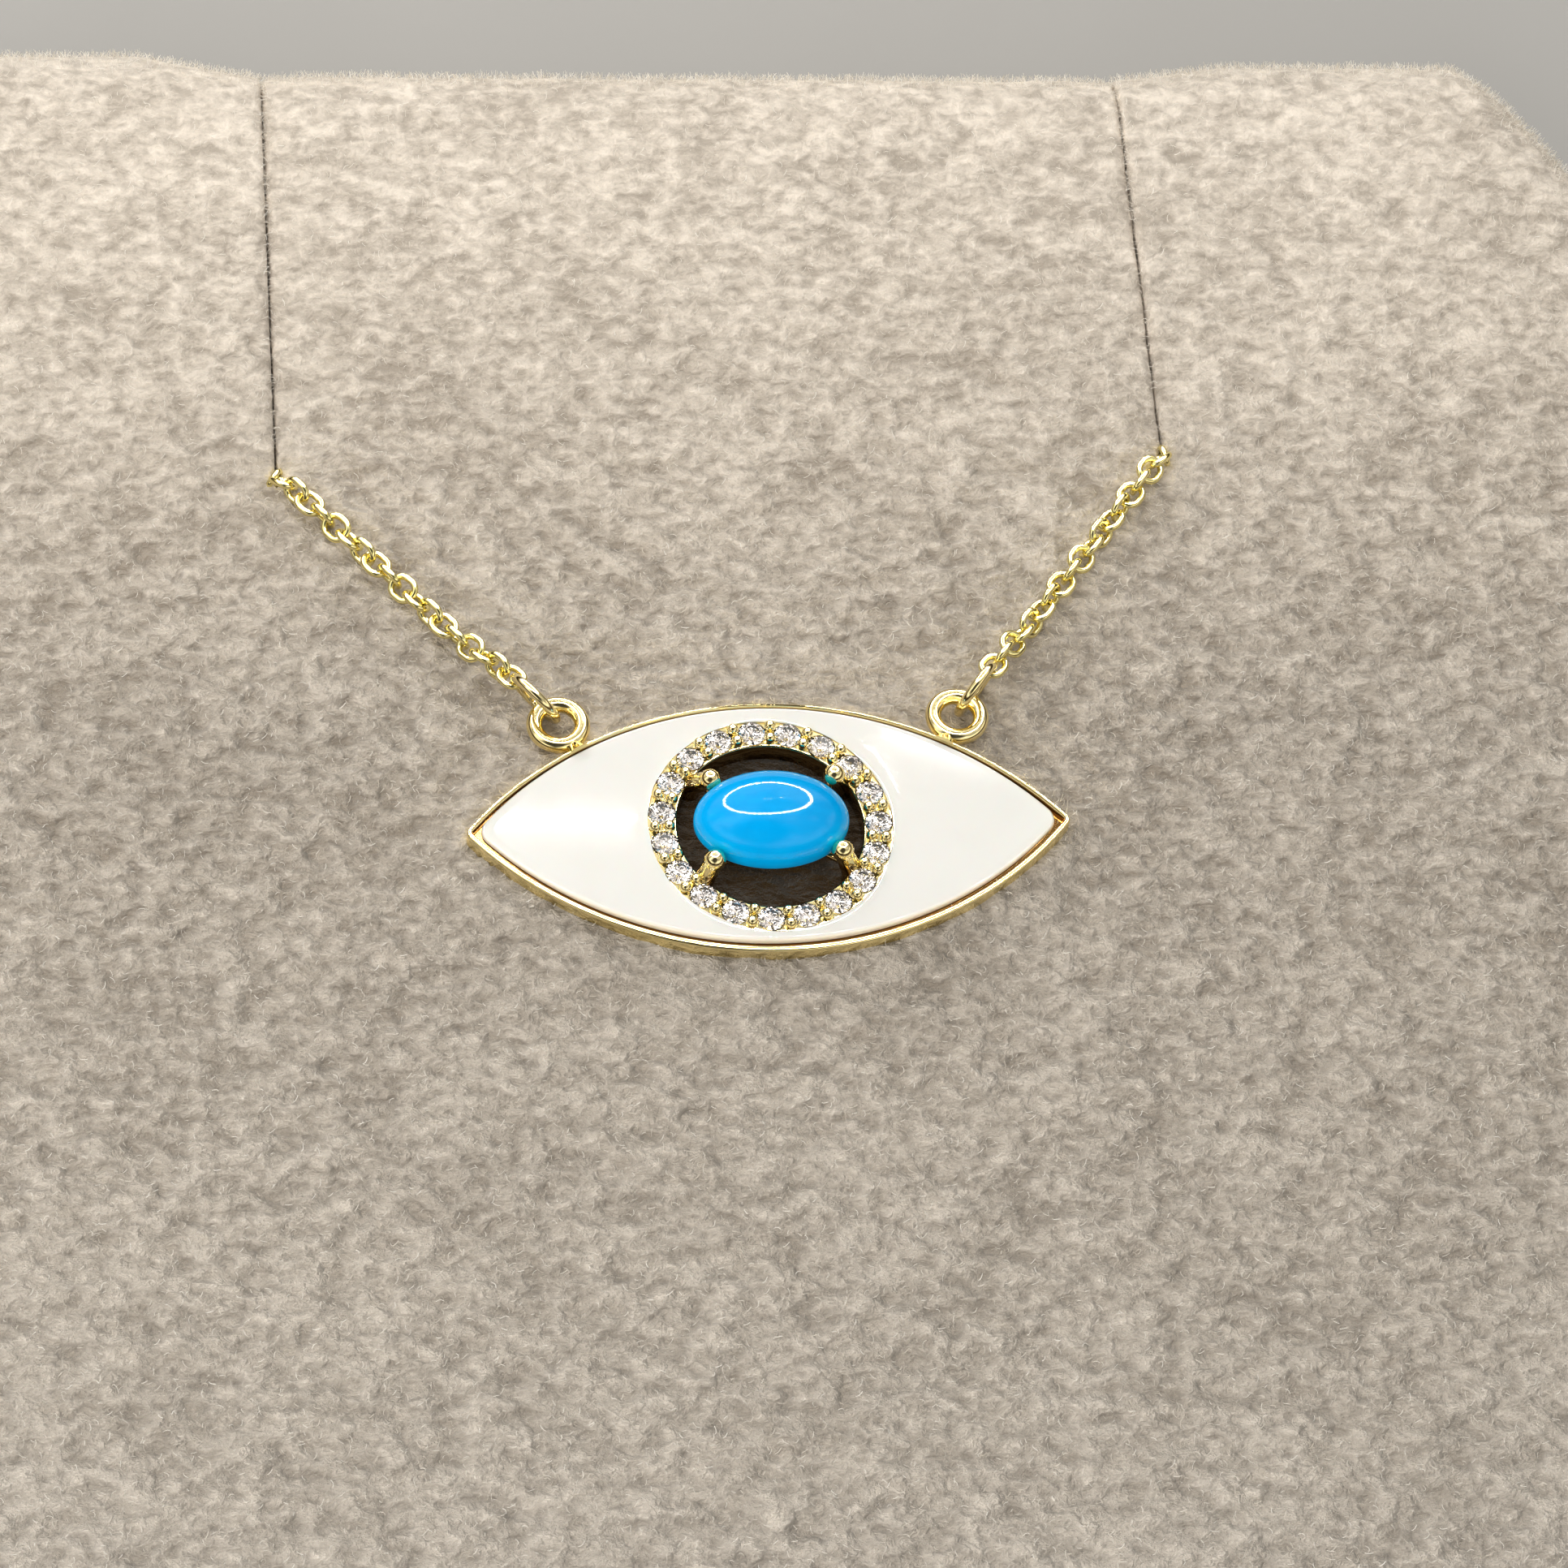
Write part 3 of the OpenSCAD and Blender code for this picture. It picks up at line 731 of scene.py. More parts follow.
# %% The enamel's spokes
ENAMEL_INSET, ENAMEL_SHIFT, ENAMEL_TIP, DOME_R, ROLL = 0.355, 0.165, 0.65, 300, 0.13
edge = np.array(eye_outline(ENAMEL_INSET, ENAMEL_TIP, ENAMEL_SHIFT, 700, 60))
edge_angle = np.arctan2(edge[:, 1], edge[:, 0]) % (2 * pi)
edge_reach = np.hypot(edge[:, 0], edge[:, 1])
order = np.argsort(edge_angle)
spokes = np.unique(np.concatenate([full_turn(320), *[
    (middle + np.linspace(-0.12, 0.12, 61)) % (2 * pi)
    for middle in (0.0115, pi - 0.0115)]]))
reach = np.interp(spokes, edge_angle[order], edge_reach[order], period=2 * pi)
hug = (4.775 + 0.012 * np.sin(7 * spokes + 1) + 0.010 * np.sin(19 * spokes)
       + 0.012 * np.cos(spokes + 0.9))
print("The enamel is drawn with", len(spokes), "spokes")


# %% Enamel field
def enamel_top(r, a, to_edge):
    z = WALL_H + 0.04 - r * r / (2 * DOME_R)
    if to_edge < ROLL:
        z -= ROLL - sqrt(ROLL ** 2 - (ROLL - to_edge) ** 2)
    return z + (0.055 + 0.02 * sin(5 * a)) * exp(-(r - 4.78) / 0.16)


def spoke_ring(radii, z):
    return [(r * cos(a), r * sin(a), z) for r, a in zip(radii, spokes)]


FROM_HALO = (0.0, 0.01, 0.025, 0.05, 0.09, 0.14, 0.2, 0.29, 0.4, 0.52, 0.64, 0.76, 0.86, 0.94)
FROM_EDGE = (ROLL, 0.08, 0.04, 0.015, 0.0)
rings = [hug + share * np.maximum(reach - 0.16 - hug, 0.05) for share in FROM_HALO]
rings += [reach - back for back in FROM_EDGE]
field = [[(r * cos(a), r * sin(a), enamel_top(r, a, (full - r) * 0.95))
          for r, a, full in zip(radii, spokes, reach)] for radii in rings]
floor_z, lip_z, inner = TRAY_Z + 0.03, WALL_H + 0.008, np.full(len(spokes), HALO_R + 0.03)
field += [spoke_ring(*row) for row in (
    (reach, floor_z), (inner, floor_z), (inner, lip_z), (hug - 0.004, lip_z),
    (hug - 0.012, lip_z + 0.02))]
enamel = make_piece("enamel_field", loft(field, close_path=True), EYE, 50)
finish_piece(enamel, enamel_white, "enamel", "enamel")

# %% [markdown]
# ## Turquoise
# The stone is a cabochon: a short straight band with half an ellipsoid on it. Rings of points
# that crowd towards the top keep the dome smooth where the lamps reflect in it.

# %% Turquoise stone
CAB_LEN, CAB_W, CAB_DOME, CAB_BAND, CAB_Z = 6.06, 4.12, 1.6, 0.3, 1.26
profile = [(0.93, CAB_Z), (0.985, CAB_Z + 0.04), (1.0, CAB_Z + 0.12)]
profile += [(cos(a), CAB_Z + CAB_BAND + CAB_DOME * sin(a))
            for a in np.linspace(0, pi / 2 - 0.0008, 48)]
cabochon = make_piece("turquoise_cabochon", loft([
    level_ring(share * CAB_LEN / 2, share * CAB_W / 2, z, 128) for share, z in profile]), EYE, 60)
finish_piece(cabochon, sky_turquoise, "turquoise", "turquoise")

# %% [markdown]
# ## Brilliants
# A round brilliant has a table, eight stars, eight kites and sixteen small facets above the
# girdle, and twenty-four facets below. One stone is cut by its angles and heights, and the halo
# tree sets nineteen of them, each turned by its own amount, because no two are set alike.


# %% Brilliants
def brilliant(radius, table=0.56, crown=0.17, pavilion=0.44, girdle=0.03):
    points = [(r * radius * cos(radians(first + step * k)),
               r * radius * sin(radians(first + step * k)), z)
              for r, first, step, count, z in (
                  (table, 0, 45, 8, crown + girdle), (0.78, 22.5, 45, 8, girdle + crown * 0.55),
                  (1, 0, 22.5, 16, girdle), (1, 0, 22.5, 16, 0),
                  (0.25, 22.5, 45, 8, -pavilion * 0.77)) for k in range(count)]
    points.append((0, 0, -pavilion))
    faces = [tuple(range(8))]
    for k in range(8):
        n = (k + 1) % 8
        table_a, table_b, star_a, star_b = k, n, 8 + k, 8 + n
        main, half, after = 16 + 2 * n, 16 + 2 * k + 1, 16 + (2 * n + 1)
        faces += [(table_a, star_a, table_b), (table_b, star_a, main, star_b)]
        faces += [(star_a, half, main), (star_b, main, after)]
        low_main, low_half, low_after = main + 16, half + 16, after + 16
        deep_a, deep_b = 48 + k, 48 + n
        faces += [(deep_a, low_main, low_half), (deep_b, low_after, low_main),
                  (56, deep_b, low_main, deep_a)]
    faces += [(16 + k, 16 + (k + 1) % 16, 32 + (k + 1) % 16, 32 + k) for k in range(16)]
    return points, faces


stone = make_piece("one_brilliant", brilliant(STONE_D / 2), PAD, 1)
halo_stones = grow("halo_brilliants", around, {
    **ring_values, "Copy": stone, "Spin": radians(45), "Tilt": radians(4),
    "Material": clear_brilliant})
halo_stones.data.transform(EYE_FROM_METRES)
halo_stones.data.shade_flat()
discard(stone)
finish_piece(halo_stones, clear_brilliant, "brilliant",
             *["brilliant_%02d" % k for k in range(1, STONES + 1)])

# %% [markdown]
# ## Jump rings
# A jump ring joins each loop to the chain. It stands almost upright, and the strand pulls it
# straight. It is bent from round wire, and its two ends meet in a butt that shows as a fine line.

# %% Jump rings
SLIT_X, SLIT_END = 18, (17.1, 18.2)
JUMP_MID, JUMP_WIRE, JUMP_REACH, JUMP_Z = 1.13, 0.40, 1.33, 11.25
loop_at = [EYE @ Vector((s * LOOP_X, LOOP_Y, LOOP_Z)) / MM for s in (-1, 1)]
strand_angle = [atan2(SLIT_END[k] - loop_at[k].y, (-1, 1)[k] * SLIT_X - loop_at[k].x)
                for k in (0, 1)]


def strand_point(side, along, z):
    a = strand_angle[side]
    return Vector((loop_at[side].x + along * cos(a), loop_at[side].y + along * sin(a), z))


def bent_ring(mid, wire, gap_at):
    """A wire ring with a fine butt joint."""
    start = radians(gap_at) + 0.006
    angles = [start, *np.linspace(start + 0.02, start + 2 * pi - 0.032, 78),
              start + 2 * pi - 0.012]
    return loft([wire_round(mid, wire / 2 * (0.93 if k in (0, len(angles) - 1) else 1), a, 24)
                 for k, a in enumerate(angles)])


for side, name, lean in ((0, "left", -20), (1, "right", 10)):
    stand = (Matrix.Translation(strand_point(side, JUMP_REACH, JUMP_Z))
             @ Matrix.Rotation(strand_angle[side], 4, "Z")
             @ Matrix.Rotation(radians(90 + lean), 4, "X"))
    wire_ring = make_piece("jump_ring_wire_" + name,
                           moved(bent_ring(JUMP_MID, JUMP_WIRE, -70), stand))
    finish_piece(wire_ring, gold, "gold", "jump_ring_" + name)

# %% [markdown]
# ## Chain
# The chain is cable chain: plain wire links, each rolled a little past a quarter turn from the
# last. A Geometry Nodes tree bends one link from a circle of wire, then walks along a curve and
# sets a link at each step, pointing along the curve. The links of the long stretch behind the pad
# have fewer sides than those that show. The route's points are the ones that the solid model
# uses: over the nap, down a slit, under the pad, and round to the clasp.

# %% One link
links, given, out = new_group(
    "links_on_a_curve", "GeometryNodeTree",
    [("Geometry", GEOMETRY), ("Link Length", FLOAT, 1.4), ("Link Width", FLOAT, 1.08),
     ("Wire", FLOAT, 0.25), ("Pitch", FLOAT, 0.775), ("Roll", FLOAT), ("First", INTEGER),
     ("Count", INTEGER, 10), ("Link Steps", INTEGER, 12), ("Wire Sides", INTEGER, 5),
     ("Material", MATERIAL)], [("Geometry", GEOMETRY)])
hoop = put("GeometryNodeCurvePrimitiveCircle", {
    "Resolution": given["Link Steps"],
    "Radius": times(minus(given["Link Width"], given["Wire"]), 0.5)})
hoop = put("GeometryNodeTransform", {
    "Geometry": hoop, "Rotation": xyz(Z=maths("DIVIDE", pi, given["Link Steps"]))})
apart = times(minus(given["Link Length"], given["Link Width"]), 0.5)
hoop_side = maths("SIGN", split(put("GeometryNodeInputPosition"))["X"])
hoop = put("GeometryNodeSetPosition", {"Geometry": hoop, "Offset": xyz(X=times(hoop_side, apart))})
wire = put("GeometryNodeCurvePrimitiveCircle", {
    "Resolution": given["Wire Sides"], "Radius": times(given["Wire"], 0.5)})
link = put("GeometryNodeCurveToMesh", {"Curve": hoop, "Profile Curve": wire})

# %% Links walked along a curve
number = plus(put("GeometryNodeInputIndex"), given["First"])
walked = put("GeometryNodeSampleCurve", {
    "Curves": given["Geometry"], "Length": times(number, given["Pitch"])}, mode="LENGTH").outputs
steps = put("GeometryNodePoints", {"Count": given["Count"], "Position": walked["Position"]})
facing = put("FunctionNodeAxesToRotation", {
    0: walked["Tangent"], 1: (0.0, 0.15, 1.0)}, primary_axis="X", secondary_axis="Z")
rolled = turned_by(facing, (1.0, 0.0, 0.0), times(number, given["Roll"]))
end_tree(put("GeometryNodeInstanceOnPoints", {
    "Points": steps, "Instance": link, "Rotation": rolled}), smooth=True)

# %% Both strands
FIRST_LINK = JUMP_REACH + JUMP_MID + 0.22
FAR_Y, FRONT_LINKS, PITCH, UNDER_Z = 141, 18, 0.775, 0.62
front = [(0, 11.25), (1, 11.1), (2.5, 10.7), (4, 10.6), (8, 10.6), (11.8, 10.6), (12.6, 10.54),
         (13.2, 10.3), (13.6, 9.9)]
hidden = [(45.5, 20.5), (48.5, 26), (50, 35), (50.5, 45), (50.5, 57), (50, 69), (48.5, 81),
          (46, 92.5), (42, 104), (36.5, 114.5), (29.5, 123.5), (21.5, 131), (13, 137)]
link_count = 0
for side, name, roll, last in ((0, "left", 108, [(6.5, 140.2, 0.9), (3.3, FAR_Y, 1.45)]),
                               (1, "right", 103, [(7.5, 140.2, 0.6), (5.2, FAR_Y, 0.6)])):
    end = SLIT_END[side]
    back = [(SLIT_X, end, 8.6), (SLIT_X, end, 5.5), (SLIT_X, end, 2.6), (18.5, end, 1.1),
            (20, end, UNDER_Z), (26, end, UNDER_Z), (34, end, UNDER_Z), (41, end + 0.4, UNDER_Z)]
    back += [(x, y, UNDER_Z) for x, y in hidden] + last
    route = [tuple(strand_point(side, FIRST_LINK + a, z)) for a, z in front]
    route += [((-1, 1)[side] * x, y, z) for x, y, z in back]
    path = smooth_path(route, 1500)
    length = np.linalg.norm(np.diff(path, axis=0), axis=1).sum()
    count = int(round(length / PITCH))
    data = bpy.data.curves.new("route_" + name, "CURVE")
    data.dimensions = "3D"
    spline = data.splines.new("POLY")
    spline.points.add(len(path) - 1)
    spline.points.foreach_set("co", np.hstack([path * MM, np.ones((len(path), 1))]).ravel())
    guide = add_object("route_" + name, data)
    sizes = {"Link Length": 1.33 * MM, "Link Width": 1.14 * MM, "Wire": 0.275 * MM,
             "Pitch": length / count * MM, "Roll": radians(roll), "Material": chain_gold}
    shown = grow("front_links_" + name, links, {
        **sizes, "Count": FRONT_LINKS, "Link Steps": 30, "Wire Sides": 10}, guide)
    rest = grow("back_links_" + name, links, {
        **sizes, "First": FRONT_LINKS, "Count": count + 1 - FRONT_LINKS}, guide)
    discard(guide)
    finish_piece(shown, chain_gold, "chain_gold", "chain_front_" + name)
    finish_piece(rest, chain_gold, "chain_gold", "chain_back_" + name)
    link_count += count + 1
    print(name, "strand:", count + 1, "links,", round(length, 1), "mm")

# %% [markdown]
# ## Clasp and end ring
# The necklace fastens behind the neck with a plain round clasp and an end ring. Neither shows in
# the photograph, so both are kept simple: a thick ring with a collar at each side of its mouth, a
# small thumb knob, and an eye that takes the last link.

# %% Clasp and end ring
CLASP_X, CLASP_MID, CLASP_WIRE, CLASP_LIFT = 0.6, 2.25, 0.9, 0.48
tilt = asin(CLASP_LIFT / (2 * CLASP_MID))
collars = [loft([wire_round(CLASP_MID, CLASP_WIRE / 2 * s, a, 28) for a, s in zip(
    np.linspace(at - 4, at + 4, 7) * pi / 180, (0.90, 0.97, 1.0, 1.0, 1.0, 0.97, 0.90))])
    for at in (38, 82, 0)]
knob = moved(lathe([(0.2, 2.5), (0.2, 2.86), (0.34, 2.9), (0.36, 3.0), (0.30, 3.06)], 20),
             Matrix.Rotation(radians(60), 4, "Z") @ Matrix.Rotation(pi / 2, 4, "Y"))
mouth = moved(combine(torus(CLASP_MID, CLASP_WIRE * 0.94, 96, 28), *collars, knob),
              Matrix.Translation((CLASP_X, FAR_Y, CLASP_WIRE / 2 + 0.02 + CLASP_LIFT / 2))
              @ Matrix.Rotation(tilt, 4, "Y"))
clasp_eye = shifted(torus(0.75, 0.4, 48, 16), CLASP_X + 3.45, FAR_Y, 0.56)
clasp = make_piece("round_clasp", combine(mouth, clasp_eye))
finish_piece(clasp, gold, "gold", "clasp")
end_ring = make_piece("end_ring_wire", moved(bent_ring(1.24, 0.38, 60), Matrix.Translation((
    CLASP_X - CLASP_MID, FAR_Y, 1.45)) @ Matrix.Rotation(pi / 2, 4, "X")))
finish_piece(end_ring, gold, "gold", "end_ring")
print("The necklace has", link_count, "links")

# %% [markdown]
# ## Display pad
# The pad is a board under soft foam, covered in suede. Two slits at its far end hold the chain,
# and the cloth rolls over into each slit. One grid of points lies over the whole top and another
# under the bottom. Its lines crowd together where the surface turns: at the outer edge and at the
# slits. Between the two slit lines the grid is left open, and walls close the gap.

# %% The pad's grid
PAD_HALF, PAD_BACK, PANEL_END, PAD_T, ROUND, GRID = 41, -40, 39.1, 10.0, 3, 0.46
SLIT_REACH = 19.5
near_edge = [0, 0.08, 0.25, 0.5, 0.9, 1.4, 2.0, 2.6, 3.2]
near_slit = [1e-6, 0.04, 0.1, 0.2, 0.36, 0.62, 1.0]


def lines_between(a, b):
    return list(np.linspace(a, b, max(int(abs(b - a) / GRID), 1) + 1))


outer = ([("slit", -o) for o in reversed(near_slit)] + [("slit", o) for o in near_slit]
         + [("out", x) for x in lines_between(SLIT_REACH, PAD_HALF - 3.7)]
         + [("edge", d) for d in reversed(near_edge)])
columns = ([(-1, kind, v) for kind, v in reversed(outer)]
           + [(0, "in", x) for x in lines_between(-16.5, 16.5)]
           + [(1, kind, v) for kind, v in outer])
slit_foot = (SLIT_END[0] - 0.35, SLIT_END[1] - 0.4)
special = [foot + d for foot in slit_foot for d in (0, 0.1, 0.25, 0.5, 0.8, 1.1, 1.4)]
special += [end + d for end in SLIT_END for d in (-1.12, -1.08, 1.08, 1.12)]
special += [PAD_BACK + d for d in near_edge] + [PANEL_END - d for d in near_edge]
rows = sorted(special + [y for y in lines_between(PAD_BACK + 3.6, PANEL_END - 3.6)
                         if min(abs(y - other) for other in special) > 0.2])
print("The pad's grid has", len(columns), "columns and", len(rows), "rows")


# %% The pad's plan
FLAP_EXTRA = (1.1, 0.8)


def slit_half_width(side, y):
    """Half the slit's width: wide where the chain dives, and a hairline further on."""
    s = y - slit_foot[side]
    if s <= 0:
        return 0.0
    return (0.042 + 0.23 * exp(-((s - 0.42) / 0.36) ** 2)) * min(1, (s / 0.25) ** 0.5)


def soft_step(x):
    x = min(max(x, 0), 1)
    return x * x * (3 - 2 * x)


def past(distance):
    """Nothing before a corner, and the distance after it, with a soft bend between."""
    return log1p(exp(min(distance / 0.8, 60))) * 0.8


def half_width(y):
    far = past(y - 28.6) * 0.67 + 0.22 * max(y - 37, 0) ** 2
    return PAD_HALF - far - past(-32 - y)


def flap_reach(x):
    """How much further than the middle panel the two side flaps reach."""
    if abs(x) <= SLIT_X:
        return 0
    return FLAP_EXTRA[1 if x > 0 else 0] * soft_step((abs(x) - SLIT_X) / 5.5)


def plan(column, t):
    sign, kind, value = column
    if kind == "in":
        x = value
    elif kind == "slit":
        wide = slit_half_width(1 if sign > 0 else 0, t) * max(1 - abs(value), 0)
        x = sign * (SLIT_X + value + copysign(wide, value))
    else:
        flat_x = value if kind == "out" else PAD_HALF - value
        share = max((flat_x - SLIT_REACH) / (PAD_HALF - SLIT_REACH), 0)
        x = sign * (flat_x - share * (PAD_HALF - half_width(t)))
    return x, t + flap_reach(x) * min(max((t - 30) / (PANEL_END - 30), 0), 1)


# %% The pad's top
LUMPS = ((0.13, 1.9, 1.5, 0), (0.15, 0.95, 0.75, 7))
NAP_FREE, NAP_UNDER_STONE, NAP_UNDER_GOLD, BANK_HIGH, BANK_WIDE = 0.12, 0.35, -0.03, 0.58, 1.2
GROOVE_FROM, GROOVE_HALF, GROOVE_TOP = 16.9, 1.1, 1.9


def roll_over(distance, radius):
    d = min(max(distance, 0), radius)
    return radius - sqrt(max(radius ** 2 - (radius - d) ** 2, 0))


def eye_distance(x, y):
    """How far outside the eye's outline a place lies, and how far from the eye's middle."""
    u = (x - EYE_X) * cos(EYE_TURN) + y * sin(EYE_TURN)
    v = -(x - EYE_X) * sin(EYE_TURN) + y * cos(EYE_TURN)
    tip_gap = hypot(max(abs(u) - tip_at + 0.3, 0), v) - TIP_R if abs(u) > tip_at else -9
    return max(hypot(u, abs(v) + ARC_Y) - ARC_R, tip_gap), hypot(u, v)


def nap_height(x, y):
    """The nap is lumpy, stands up in a bank round the pendant, and is pressed flat under it."""
    lumps = sum(high * noise.noise(Vector((x / wide, y / deep, layer)))
                for high, wide, deep, layer in LUMPS)
    outside, from_middle = eye_distance(x, y)
    if outside > -0.5:
        return NAP_FREE + lumps + BANK_HIGH * exp(-(max(outside, 0) / BANK_WIDE) ** 2)
    return NAP_UNDER_STONE + 0.5 * lumps if from_middle < 4.1 else NAP_UNDER_GOLD


top, bottom = [], []
for t in rows:
    for column in columns:
        x, y = plan(column, t)
        side = 1 if x > 0 else 0
        from_slit = abs(abs(x) - SLIT_X)
        steep = half_width(y + 0.05) - half_width(y - 0.05)
        to_side = (half_width(t) - abs(x)) / hypot(1, steep / 0.1)
        to_edge = max(min(to_side, PANEL_END - t, y - PAD_BACK), 0)
        z = (PAD_T + nap_height(x, y) * min(to_edge / 2.0 + 0.25, 1)
             - roll_over(to_edge, ROUND))
        along = soft_step((t - slit_foot[side]) / 1.5)
        # The cloth dips at a slit, and the flap outside it stands a little higher.
        if along > 0 and from_slit < 3:
            off = max(from_slit - slit_half_width(side, t), 0)
            z -= along * (0.9 * roll_over(off, 0.34) + 0.12 * exp(-(off / 1.2) ** 2))
            if x < -SLIT_X or (x > SLIT_X and t > 24):
                z += 0.20 * along * exp(-(off / 1.6) ** 2)
        top.append((x, y, z))
        in_groove = abs(x) > GROOVE_FROM and abs(y - SLIT_END[side]) < GROOVE_HALF
        lift = 1.0 - sqrt(max(1 - (1 - min(to_edge, 1)) ** 2, 0))
        bottom.append((x, y, GROOVE_TOP if in_groove else lift))

# %% The pad's walls
n = len(columns)
points = top + bottom
faces, edges = [], {}
for r in range(len(rows) - 1):
    for c in range(n - 1):
        a, b = columns[c], columns[c + 1]
        gap = a[1] == b[1] == "slit" and abs(a[2]) < 1e-5 and abs(b[2]) < 1e-5
        if gap and rows[r] > slit_foot[1 if a[0] > 0 else 0] - 0.001:
            continue
        quad = (r * n + c, r * n + c + 1, (r + 1) * n + c + 1, (r + 1) * n + c)
        faces += [quad, tuple(len(top) + i for i in reversed(quad))]
        for k in range(4):
            pair = (quad[k], quad[(k + 1) % 4])
            edges[tuple(sorted(pair))] = None if tuple(sorted(pair)) in edges else pair
for pair in [p for p in edges.values() if p]:
    ends = []
    for i in pair:
        upper, lower = Vector(points[i]), Vector(points[len(top) + i])
        ends.append([i, *range(len(points), len(points) + 3), len(top) + i])
        points += [tuple(upper.lerp(lower, share)) for share in (0.25, 0.5, 0.75)]
    faces += [(ends[0][k], ends[0][k + 1], ends[1][k + 1], ends[1][k]) for k in range(4)]
pad = make_piece("suede_pad", (points, faces), PAD, 60)
finish_piece(pad, suede, "pad_suede", "display_pad")

# %% [markdown]
# ## Loose nap
# A bump map makes the nap look soft from above, but an edge seen against the light stays as
# sharp as plastic. Real hairs mend that. A Geometry Nodes tree scatters short bent ribbons over
# the top and, more thickly, over the edge that turns down. Each leans its own way, and none grows
# under the stone. They are thin and few enough to stay light.

# %% Where hairs grow
hairs, given, out = new_group(
    "hairs_on_a_surface", "GeometryNodeTree",
    [("Geometry", GEOMETRY), ("Density", FLOAT, 1e6), ("Hair Length", FLOAT, 0.9 * MM),
     ("Hair Width", FLOAT, 0.03 * MM), ("Lean Low", FLOAT, 0.5), ("Lean High", FLOAT, 1.35),
     ("From X", FLOAT, -1.0), ("To X", FLOAT, 1.0), ("Edge Only", FLOAT, 0.0),
     ("Seed", INTEGER, 3), ("Material", MATERIAL)], [("Geometry", GEOMETRY)])
where = put("GeometryNodeInputPosition")
at = split(where)
up = split(put("GeometryNodeInputNormal"))["Z"]
from_eye = vector("DISTANCE", where, UNDER_EYE).outputs["Value"]
on_top = times(above(at["X"], given["From X"]), above(given["To X"], at["X"]), above(up, 0.5),
               above(from_eye, 4.8 * MM))
on_edge = times(above(0.9, up), above(up, 0.05),
                maths("MAXIMUM", above(at["Y"], 30 * MM), 0.25))
chosen = plus(times(on_top, minus(1, given["Edge Only"])), times(on_edge, given["Edge Only"]))
scattered = put("GeometryNodeDistributePointsOnFaces", {
    "Mesh": given["Geometry"], "Density": times(chosen, given["Density"]), "Seed": given["Seed"]})

# %% Hairs on a surface
profile = put("GeometryNodeCurvePrimitiveLine", {
    "Start": xyz(X=times(given["Hair Width"], -0.5)),
    "End": xyz(X=times(given["Hair Width"], 0.5))})
size = xyz(X=given["Hair Length"], Y=given["Hair Length"], Z=given["Hair Length"])
curled = put("GeometryNodeJoinGeometry")
for middle, tip in (((0.25, 0.10, 0.42), (0.10, 0.42, 0.85)),
                    ((-0.2, 0.25, 0.35), (0.30, 0.1, 0.8)),
                    ((0.30, -0.2, 0.5), (-0.15, -0.35, 0.75))):
    hair = put("GeometryNodeCurveQuadraticBezier", {
        "Resolution": 2, "Start": (0.0, 0.0, -0.05), "Middle": middle, "End": tip})
    sized = put("GeometryNodeTransform", {"Geometry": hair, "Scale": size})
    ribbon = put("GeometryNodeCurveToMesh", {"Curve": sized, "Profile Curve": profile})
    join(put("GeometryNodeGeometryToInstance", {0: ribbon}), curled.inputs[0])
posed = turned_by(scattered.outputs["Rotation"], (0.0, 0.0, 1.0), random_value(0.0, 6.283, 11))
posed = turned_by(posed, (1.0, 0.0, 0.0), random_value(given["Lean Low"], given["Lean High"], 12))
choice = put("FunctionNodeRandomValue", {4: 0, 5: 2, "Seed": 13}, data_type="INT").outputs[2]
grown = put("GeometryNodeInstanceOnPoints", {
    "Points": scattered, "Instance": curled, "Pick Instance": True, "Instance Index": choice,
    "Rotation": posed, "Scale": xyz(X=random_value(0.6, 1.2, 14), Y=random_value(0.6, 1.2, 15),
                                    Z=random_value(0.5, 1.2, 16))})
end_tree(put("GeometryNodeStoreNamedAttribute", {
    "Geometry": grown, "Name": "hair_tone", "Value": random_value(0.0, 1.0, 17)},
    data_type="FLOAT", domain="INSTANCE"), smooth=True)

# %% Loose nap
LYING = {"Density": 1.0e7, "Hair Length": 0.32 * MM, "Hair Width": 0.020 * MM, "Lean Low": 0.8,
         "Lean High": 1.4}
STANDING = {"Density": 4.7e7, "Hair Length": 0.36 * MM, "Hair Width": 0.018 * MM,
            "Lean Low": 0.0, "Lean High": 1.3}
for name, kind, where, seed in (("left", LYING, {"To X": -0.014}, 3),
                                ("middle", LYING, {"From X": -0.014, "To X": 0.014}, 5),
                                ("right", LYING, {"From X": 0.014}, 9),
                                ("edge", STANDING, {"Edge Only": 1.0}, 21)):
    tuft = grow("nap_" + name, hairs, {**kind, **where, "Seed": seed, "Material": loose_nap}, pad)
    finish_piece(tuft, loose_nap, "pad_suede", "display_pad")

# %% [markdown]
# ## Floor and light
# The photograph's light comes from a ring of small lamps above and behind the pendant: the
# turquoise reflects them as an oval of dots. Real lamps in that ring give the reflection, and
# light nothing that is matt. Three broad soft panels, which nothing mirrors, light the cloth from
# above, in front and behind, with soft shadows.

# %% Floor
FLOOR_HALF = 3
floor_mesh = bpy.data.meshes.new("floor")
floor_mesh.from_pydata([(x * FLOOR_HALF, y * FLOOR_HALF, 0) for x, y in (
    (-1, -1), (1, -1), (1, 1), (-1, 1))], [], [(0, 1, 2, 3)])
floor = add_object("floor", floor_mesh)
pale, shader = new_material("pale_floor", Roughness=0.7)
two_tones(shader, (0.312, 0.303, 0.286), (0.332, 0.323, 0.306), 30)
floor_mesh.materials.append(pale)


